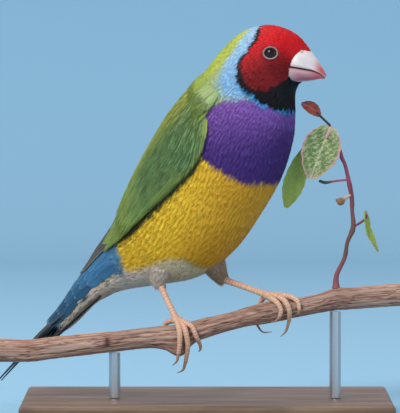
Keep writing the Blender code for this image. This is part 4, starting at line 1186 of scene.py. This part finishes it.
# Branch, with the ridges of its bark: along it, up, radius
branchRows = [
    (-57.5, 19.6, 3.35), (-48.0, 19.5, 3.2), (-39.5, 20.5, 3.05), (-28.0, 21.7, 2.95), (-17.0, 22.9, 2.9),
    (-10.0, 23.3, 3.2), (-6.5, 23.3, 3.55), (-2.5, 24.6, 3.05), (3.0, 26.2, 2.8), (9.0, 27.8, 2.6),
    (14.0, 29.2, 2.8), (20.0, 30.4, 3.05), (28.0, 31.8, 2.75), (33.0, 32.8, 2.8), (38.0, 34.0, 3.15),
    (43.0, 34.3, 3.1), (50.0, 34.8, 3.1), (57.5, 35.3, 3.15),
]
branchSizes = {"y": -4.0, "flareX": -4.8, "flareDrop": 2.3, "knotX": -26.0, "rows": 420, "around": 84}
barkTints = {"pale": (0.52, 0.33, 0.25), "ridge": (0.33, 0.17, 0.12), "groove": (0.11, 0.045, 0.032),
             "grey": (0.42, 0.30, 0.25), "knot": (0.08, 0.04, 0.035)}


def branchReach(x, r, a):
    rough = 1 + 0.02 * np.sin(5 * a + x * 0.11) + 0.015 * np.sin(9 * a - x * 0.07)
    along = (x - branchSizes["flareX"]) / np.where(x < branchSizes["flareX"], 4.2, 2.4)
    flare = branchSizes["flareDrop"] * np.exp(-along**2) * np.maximum(0.0, -np.sin(a)) ** 3
    knot = 0.45 * np.exp(-(((x - branchSizes["knotX"]) / 1.8) ** 2)) * np.maximum(0.0, -np.cos(a + 0.3)) ** 6
    return r * rough + flare + knot


def strand(x, a, seed, long, wide):
    # Smooth noise that is long along the branch and narrow round it
    total = np.zeros(np.broadcast(x, a).shape)
    rng = np.random.default_rng(seed)
    for _ in range(26):
        turns = rng.integers(-wide, wide + 1)
        pace = rng.normal() * 2 * math.pi / long
        total = total + np.cos(turns * a + pace * x + rng.uniform(0, 6.28))
    return total / math.sqrt(13)


def makeBranch():
    rows = smoothPath(branchRows, branchSizes["rows"])
    x = rows[:, 0][:, None]
    z = rows[:, 1][:, None]
    r = rows[:, 2][:, None]
    a = (np.arange(branchSizes["around"]) * 2 * math.pi / branchSizes["around"])[None]
    coarse = strand(x, a, 3, 60, 10)
    fine = strand(x, a, 4, 22, 30)
    tiny = strand(x, a, 5, 5, 40)
    crack = ease(np.abs(coarse * 0.6 + fine * 0.7), 0.0, 0.28)
    knotAway = ((x - branchSizes["knotX"]) / 0.9) ** 2 + ((np.cos(a) + 0.98) / 0.09) ** 2
    hole = np.exp(-knotAway)
    reach = branchReach(x, r, a) - 0.24 * (1 - crack) + 0.05 * fine + 0.03 * tiny - 0.06 - 0.3 * hole
    rings = np.stack([x + a * 0, branchSizes["y"] + reach * np.cos(a), z + reach * np.sin(a)], -1)
    shade = barkTints["ridge"]
    for tint, share in (("pale", ease(fine + 0.5 * tiny, -0.4, 1.4)), ("grey", ease(coarse, 0.3, 1.6) * 0.6),
                        ("groove", (1 - crack) * 0.85), ("knot", hole)):
        shade = blend(shade, barkTints[tint], share)
    look = tintMaterial("pinkBark", 0.85, 900, 0.22, bump=0.12, stretch=(0.12, 1, 1), shine=0.2)
    putPiece("perchBranch", tubeParts(rings, shade), look, ("perch",))


def branchAt(x):
    return splineRows(branchRows, np.interp(x, [row[0] for row in branchRows], range(len(branchRows))))[0]


def onBranch(x, z, radius, gap=0.3):
    centreX, centreZ, r = branchAt(x)
    a = np.arange(90) * 2 * math.pi / 90
    reach = branchReach(np.full(90, centreX), r, a)
    ring = np.stack([branchSizes["y"] + reach * np.cos(a), centreZ + reach * np.sin(a)], -1)
    for y in np.arange(branchSizes["y"] - 1.0, branchSizes["y"] - 9.0, -0.05):
        outside = y < ring[np.abs(ring[:, 1] - z) < 0.6, 0].min(initial=0.0)
        if outside and np.hypot(*(ring - (y, z)).T).min() > radius + gap:
            return y
    return branchSizes["y"] - 9.0


makeBranch()
print("branch made")


# Legs: thigh, scaled shank and toes, claws
ankles = {"right": (-11.6, 3.6, 38.2), "left": (6.3, 7.4, 39.0)}
feet = {"right": (-6.6, -4.6, 28.2), "left": (19.2, -3.6, 35.0)}
toes = {
    "right": {
        "inner": [(-6.2, 27.2, 0.85), (-5.7, 25.0, 0.8), (-5.7, 21.5, 0.7), (-6.0, 19.2, 0.6)],
        "middle": [(-5.0, 27.4, 0.85), (-4.0, 25.0, 0.8), (-3.4, 21.0, 0.7), (-4.0, 16.6, 0.58)],
        "outer": [(-4.2, 27.6, 0.85), (-2.2, 26.4, 0.75), (-1.0, 23.6, 0.65), (0.0, 21.4, 0.55)],
    },
    "left": {
        "inner": [(19.6, 34.6, 0.85), (21.6, 33.2, 0.75), (22.7, 31.2, 0.65), (22.4, 29.6, 0.55)],
        "middle": [(21.2, 35.0, 0.85), (23.6, 33.8, 0.8), (25.0, 31.2, 0.7), (25.0, 27.8, 0.58)],
        "outer": [(22.6, 35.1, 0.85), (25.6, 34.7, 0.75), (27.4, 33.4, 0.65), (27.8, 31.6, 0.55)],
    },
}
claws = {
    "right": {
        "inner": [(-6.1, 18.6), (-6.5, 16.8), (-7.7, 15.5)],
        "middle": [(-4.2, 15.9), (-4.8, 14.1), (-6.4, 13.2)],
        "outer": [(0.1, 20.8), (0.1, 19.9), (-0.4, 19.2)],
    },
    "left": {
        "inner": [(22.1, 29.0), (21.2, 28.0), (20.0, 27.7)],
        "middle": [(24.8, 27.2), (24.1, 25.0), (22.7, 23.5)],
        "outer": [(27.9, 31.0), (27.6, 30.2), (27.0, 29.9)],
    },
}
hindToes = {
    "right": [(-7.6, -2.2, 27.8, 0.8), (-9.4, 0.1, 27.0, 0.75), (-10.6, 1.2, 24.6, 0.6)],
    "left": [(18.4, -1.6, 34.6, 0.8), (17.2, 0.4, 33.0, 0.7), (16.4, 0.6, 30.4, 0.58)],
}
hindClaws = {
    "right": [(-10.8, 1.2, 23.9), (-10.6, 0.6, 22.2), (-9.9, -0.1, 21.0)],
    "left": [(16.2, 0.5, 29.7), (16.0, -0.4, 27.0), (17.6, -1.6, 24.6), (20.2, -3.0, 24.7)],
}
thighs = {
    "right": [(-9.2, 4.5, 47.5, 5.2), (-10.6, 3.4, 43.6, 4.4), (-11.6, 3.4, 40.2, 2.7),
              (-11.5, 3.4, 38.4, 1.5)],
    "left": [(1.4, 5.0, 47.5, 5.4), (3.2, 6.0, 44.4, 4.4), (4.8, 6.9, 41.4, 2.8), (6.0, 7.3, 39.4, 1.5)],
}
shankShape = [(-0.12, 1.2), (0.0, 1.15), (0.12, 0.98), (0.5, 0.84), (0.88, 0.95), (1.0, 1.15)]
soleShape = [(-0.5, 0.3, 0.5), (0.0, 0.0, 0.0), (0.6, -0.2, -0.3)]
legTints = {"skin": (0.72, 0.38, 0.24), "pale": (0.80, 0.54, 0.38), "red": (0.58, 0.20, 0.13),
            "clawRoot": (0.50, 0.27, 0.17), "clawTip": (0.30, 0.17, 0.10)}
# The far (left) thigh's darker brown tint is painted shade of the same cream feathers
thighTints = {"right": (0.74, 0.60, 0.48), "left": (0.52, 0.34, 0.22)}


def scaledTube(rows, steps, scale):
    # A tube with low overlapping plates, one every scale millimetres, and a rounded end
    path = np.array(domed(smoothPath(rows, steps)))
    length = np.concatenate([[0], np.cumsum(np.linalg.norm(np.diff(path[:, :3], axis=0), axis=1))])
    saw = (length / scale) % 1.0
    path[:, 3] *= 1 + 0.07 * (saw - 0.5)
    tone = blend(legTints["skin"], legTints["pale"], ease(saw, 0.2, 0.9)[:, None] * 0.8)
    tone = blend(tone, legTints["red"], ease(0.16 - saw, 0, 0.16)[:, None] * 0.7)
    return tubeParts(roundRings(path, 16), tone)


def makeLeg(side):
    ankle = np.array(ankles[side])
    foot = np.array(feet[side])
    parts = [scaledTube([(*(ankle + (foot - ankle) * f), radius) for f, radius in shankShape], 150, 1.05)]
    clawPaths = {}
    for toe, rows in toes[side].items():
        line = [(*foot, 1.0)] + [(x, onBranch(x, z, radius), z, radius) for x, z, radius in rows]
        parts.append(scaledTube(line, 90, 0.75))
        clawPaths[toe] = [(x, line[-1][1] + 0.25 * i, z, (0.46, 0.32, 0.1)[i])
                          for i, (x, z) in enumerate(claws[side][toe])]
    parts.append(scaledTube([(*foot, 1.0)] + hindToes[side], 70, 0.75))
    parts.append(scaledTube([(*(foot + np.array(v)), 1.25) for v in soleShape], 16, 0.75))
    look = tintMaterial("legScales_" + side, 0.5, 1600, 0.1, bump=0.05)
    putPiece("legScaled_" + side, joined(parts), look, ("leg_" + side,))
    path = hindClaws[side]
    clawPaths["hind"] = [(*p, radius) for p, radius in zip(path, np.linspace(0.5, 0.12, len(path)))]
    look = tintMaterial("clawHorn_" + side, 0.35, 1200, 0.1, coat=0.3)
    for toe, path in clawPaths.items():
        # It starts a little way back, inside the toe
        first = np.array(path[0]) + (np.array(path[0]) - np.array(path[1])) * (0.4, 0.4, 0.4, 0.0)
        rows = smoothPath([tuple(first)] + path, 22)
        rows[:, 3] *= np.linspace(1.12, 1.0, 22)
        rings = roundRings(domed(rows), 14, 0.85)
        tone = blend(legTints["clawRoot"], legTints["clawTip"], np.linspace(0, 1, len(rings))[:, None])
        name = "claw_" + side + "_" + toe
        putPiece("horn_" + name, tubeParts(rings, tone), look, (name,))


def makeThigh(side):
    sizes = {"steps": 40, "around": 40, "gap": 0.55, "wide": 1.3, "long": (1.9, 2.6)}
    colour = np.array(thighTints[side])
    path = smoothPath(thighs[side], sizes["steps"])
    path[:, 3] = path[:, 3] * 0.72 - 0.05
    rings = roundRings(path, sizes["around"])
    putPiece("thighSkin_" + side, tubeParts(rings, colour * 0.8), skinLook,
             ("thigh_" + side,))
    roots = []
    ahead = []
    outs = []
    uvs = []
    places = path[:, :3]
    run = unit(np.gradient(places, axis=0))
    for i in range(2, sizes["steps"] - 2):
        count = max(8, int(2 * math.pi * path[i, 3] / sizes["gap"]))
        for k in range(count):
            spot = (k + dice.uniform(-0.3, 0.3)) / count * sizes["around"]
            point = rings[i][int(spot) % sizes["around"]]
            out = unit(point - places[i])
            roots.append(point - out * 0.1)
            ahead.append(run[i] + out * 0.12)
            outs.append(out)
            uvs.append((0.4 + 0.1 * k / count + (0.3 if side == "left" else 0.0),
                        0.25 + 0.1 * i / sizes["steps"]))
    count = len(roots)
    size = np.stack([np.full(count, sizes["wide"]), dice.uniform(*sizes["long"], count)], 1)
    layCoat("coatThigh_" + side, np.array(roots), np.array(ahead), np.array(outs), size,
            speckled(np.broadcast_to(colour, (count, 3)), 0.08), np.where(dice.random(count) < 0.5, 1, 3),
            np.array(uvs))


for side in ("right", "left"):
    makeLeg(side)
for side in ("right", "left"):
    makeThigh(side)
print("legs made")


# Twig and leaves: right, back, up, radius
twigRows = [
    (38.2, -4.2, 37.0, 1.25), (38.4, -4.2, 40.8, 0.85), (40.6, -4.3, 45.6, 0.72), (41.4, -4.4, 50.0, 0.68),
    (43.0, -4.4, 54.2, 0.85), (42.7, -4.5, 59.0, 0.64), (42.5, -4.6, 63.2, 0.8), (40.9, -4.8, 71.0, 0.64),
    (39.7, -5.0, 74.0, 0.70), (38.6, -5.2, 78.2, 0.58), (36.6, -5.4, 82.4, 0.5),
]
leafStalk = [(41.4, -4.8, 67.6, 0.35), (37.7, -5.2, 67.2, 0.32), (35.2, -5.2, 66.8, 0.45),
             (33.7, -5.2, 67.2, 0.4)]
oldBud = [(42.5, -4.6, 63.4, 0.5), (41.6, -5.0, 63.0, 0.45), (40.4, -5.3, 62.2, 0.6),
          (39.4, -5.5, 61.5, 1.15), (38.5, -5.5, 61.9, 0.5)]
twigKnots = (37, 47, 53, 60.5, 66, 78)
twigTints = {"brown": (0.17, 0.065, 0.05), "plum": (0.22, 0.04, 0.065), "pink": (0.42, 0.075, 0.14),
             "stalk": (0.05, 0.06, 0.05), "bud": (0.28, 0.14, 0.06), "pale": (0.62, 0.42, 0.34)}


def makeTwig():
    path = smoothPath(twigRows, 150)
    path[:, 3] *= 0.82
    for middle in twigKnots:
        path[:, 3] *= 1 + 0.16 * np.exp(-(((path[:, 2] - middle) / 0.7) ** 2))
    rings = roundRings(domed(path), 18)
    z = rings[..., 2]
    tone = blend(twigTints["brown"], twigTints["plum"], ease(z, 55, 64))
    tone = blend(tone, twigTints["pink"], ease(z, 64, 76))
    tone = blend(tone, twigTints["pink"], ease(47 - z, 0, 6) * 0.45)
    parts = [tubeParts(rings, tone)]
    for rows, near, far in ((leafStalk, "pink", "stalk"), (oldBud, "pale", "bud")):
        rings = roundRings(domed(smoothPath(rows, 40)), 14)
        share = ease(np.linspace(0, 1, len(rings)), 0.25, 0.6)[:, None]
        parts.append(tubeParts(rings, blend(twigTints[near], twigTints[far], share)))
    look = tintMaterial("twigRind", 0.6, 900, 0.2, bump=0.08, stretch=(1, 1, 0.3))
    putPiece("twigShoot", joined(parts), look, ("twig",))


leafTints = {"green": (0.20, 0.30, 0.06), "deep": (0.09, 0.15, 0.045), "cream": (0.62, 0.58, 0.36),
             "pink": (0.66, 0.36, 0.34), "bud": (0.42, 0.06, 0.035), "budEdge": (0.20, 0.10, 0.05),
             "lime": (0.40, 0.46, 0.08)}
leaves = {
    "leaf_large": {"spine": [(36.4, -7.0, 82.6), (33.9, -7.2, 76.2), (30.8, -7.2, 67.9)], "half": 5.4,
                   "stalk": [(36.8, -6.2, 82.2, 0.4), (36.4, -6.9, 81.5, 0.42), (35.4, -7.2, 79.6, 0.4)],
                   "faceTurn": 0.0, "kind": "variegated", "stem": leafTints["pink"]},
    "leaf_low": {"spine": [(29.8, -2.6, 76.4), (26.4, -2.2, 67.0), (24.2, -2.0, 59.6)], "half": 3.1,
                 "stalk": [(37.4, -4.8, 80.5, 0.35), (34.0, -3.4, 79.2, 0.35), (29.2, -2.7, 75.2, 0.35)],
                 "faceTurn": 0.3, "kind": "green", "stem": twigTints["plum"]},
    "leaf_bud": {"spine": [(33.6, -5.6, 85.6), (31.2, -5.7, 87.8), (28.4, -5.8, 89.0)], "half": 1.7,
                 "stalk": [(36.5, -5.4, 82.8, 0.35), (34.6, -5.5, 84.6, 0.35), (32.8, -5.75, 86.3, 0.35)],
                 "faceTurn": 0.1, "kind": "bud", "stem": twigTints["stalk"]},
    "leaf_side": {"spine": [(46.5, -4.6, 58.9), (47.3, -4.8, 53.2), (50.1, -5.0, 47.5)], "half": 1.3,
                  "stalk": [(43.4, -4.4, 54.5, 0.35), (46.2, -4.5, 56.4, 0.35), (46.7, -4.75, 57.6, 0.35)],
                  "faceTurn": 0.9, "kind": "green", "stem": twigTints["plum"]},
}


def leafTone(kind, u, f, rib, ridge, patch):
    # Tints across one row of the blade: the edge tints come in toward u = 1
    edge = np.abs(u)
    layers = {
        "variegated": (("deep", ease(patch, -0.2, 1.0) * 0.8),
                       ("cream", ease(-patch, 0.0, 1.4) * 0.75 + rib * 0.9 + ridge * 0.3),
                       ("pink", ease(edge, 0.82, 0.97) + ease(f, 0.85, 1.0) * 0.5),
                       ("cream", ease(0.16 - f, 0, 0.16) * 0.6)),
        "bud": (("budEdge", ease(edge, 0.6, 1.0) * 0.8), ("pink", rib * 0.4)),
        "green": (("lime", 0.7 + ease(edge, 0.75, 1.0) * 0.4 + rib * 0.6 + ridge * 0.25),
                  ("deep", ease(patch, 0.4, 1.6) * 0.3)),
    }
    tone = leafTints["bud" if kind == "bud" else "green"]
    for tint, share in layers[kind]:
        tone = blend(tone, leafTints[tint], share)
    return tone

def makeLeaf(name, leaf):
    sizes = {"rows": 70, "columns": 41, "cup": 0.25, "thick": 0.3}
    spine = np.asarray(leaf["spine"], float)
    last = len(spine) - 1
    u = np.linspace(-1, 1, sizes["columns"])
    facing = (math.sin(leaf["faceTurn"]), -math.cos(leaf["faceTurn"]), 0.1)
    rng = np.random.default_rng(len(name) * 7)
    face = []
    outs = []
    tone = []
    for i in range(sizes["rows"]):
        f = i / (sizes["rows"] - 1)
        place, ahead, behind = splineRows(spine, [f * last, min(f + 0.05, 1) * last, max(f - 0.05, 0) * last])
        run = unit(ahead - behind)
        across = unit(np.cross(run, facing))
        out = np.cross(across, run)
        width = leaf["half"] * (0.08 + 0.92 * math.sin(math.pi * min(f * 0.94 + 0.05, 1)) ** 0.75)
        width *= 1 + 0.03 * math.sin(f * 40)
        # Side veins leave the midrib toward the tip; the blade rises between them
        vein = (f * 11 - np.abs(u) * 1.6) % 1.0
        ridge = np.exp(-((np.minimum(vein, 1 - vein) / 0.09) ** 2)) * (1 - np.abs(u) ** 3)
        rib = np.exp(-((u * width / 0.22) ** 2))
        lift = sizes["cup"] * width * np.abs(u) ** 1.4 - 0.1 * ridge - 0.16 * rib
        lift = lift + 0.1 * np.sin(f * 15 + u * 2)
        face.append(place + across * (u * width)[:, None] + out * lift[:, None])
        outs.append(out)
        patch = 0.6 * np.sin(u * 9 + f * 17) + 0.6 * np.sin(u * 19 - f * 43 + 1)
        patch = patch + rng.normal(0, 0.9, sizes["columns"])
        tone.append(leafTone(leaf["kind"], u, f, rib, ridge, patch))
    face = np.array(face)
    back = face - np.array(outs)[:, None] * sizes["thick"]
    tone = np.array(tone)
    parts = [tubeParts(np.concatenate([face, back[:, ::-1]], axis=1),
                       np.concatenate([tone, tone[:, ::-1] * 0.8], axis=1))]
    parts.append(tubeParts(roundRings(domed(smoothPath(leaf["stalk"], 30)), 12), leaf["stem"]))
    look = tintMaterial(name + "Blade", 0.5, 700, 0.14, bump=0.05, skinDeep=0.2)
    putPiece(name + "Veined", joined(parts), look, (name,))


makeTwig()
for leafName, leaf in leaves.items():
    makeLeaf(leafName, leaf)
print("twig and leaves made")


# Stand
def dressStand():
    walnut, tree, shader = newMaterial("standWalnut", 0.45)
    grain = objectGrain(tree, 260, 6, (0.12, 1, 1), 0.6)
    tones = ((0.3, (0.10, 0.05, 0.028)), (0.72, (0.30, 0.175, 0.10)))
    feed(tree, shader, {"Base Color": toneRamp(tree, grain, tones)})
    addRelief(tree, shader, grain, 0.05)
    steel, tree, shader = newMaterial("standSteel", 0.3, (0.55, 0.56, 0.58))
    rough = addNode(tree, "ShaderNodeMapRange", {
        "Value": objectGrain(tree, 500, stretch=(1, 1, 14)), "To Min": 0.22, "To Max": 0.42})
    feed(tree, shader, {"Metallic": 1.0, "Roughness": rough.outputs["Result"]})
    for name, look in (("stand_base", walnut), ("stand_rod_1", steel), ("stand_rod_2", steel)):
        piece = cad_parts[name]
        piece.data.materials.clear()
        piece.data.materials.append(look)


dressStand()
print("stand dressed,", sum(coatTriangles), "coat triangles in all")
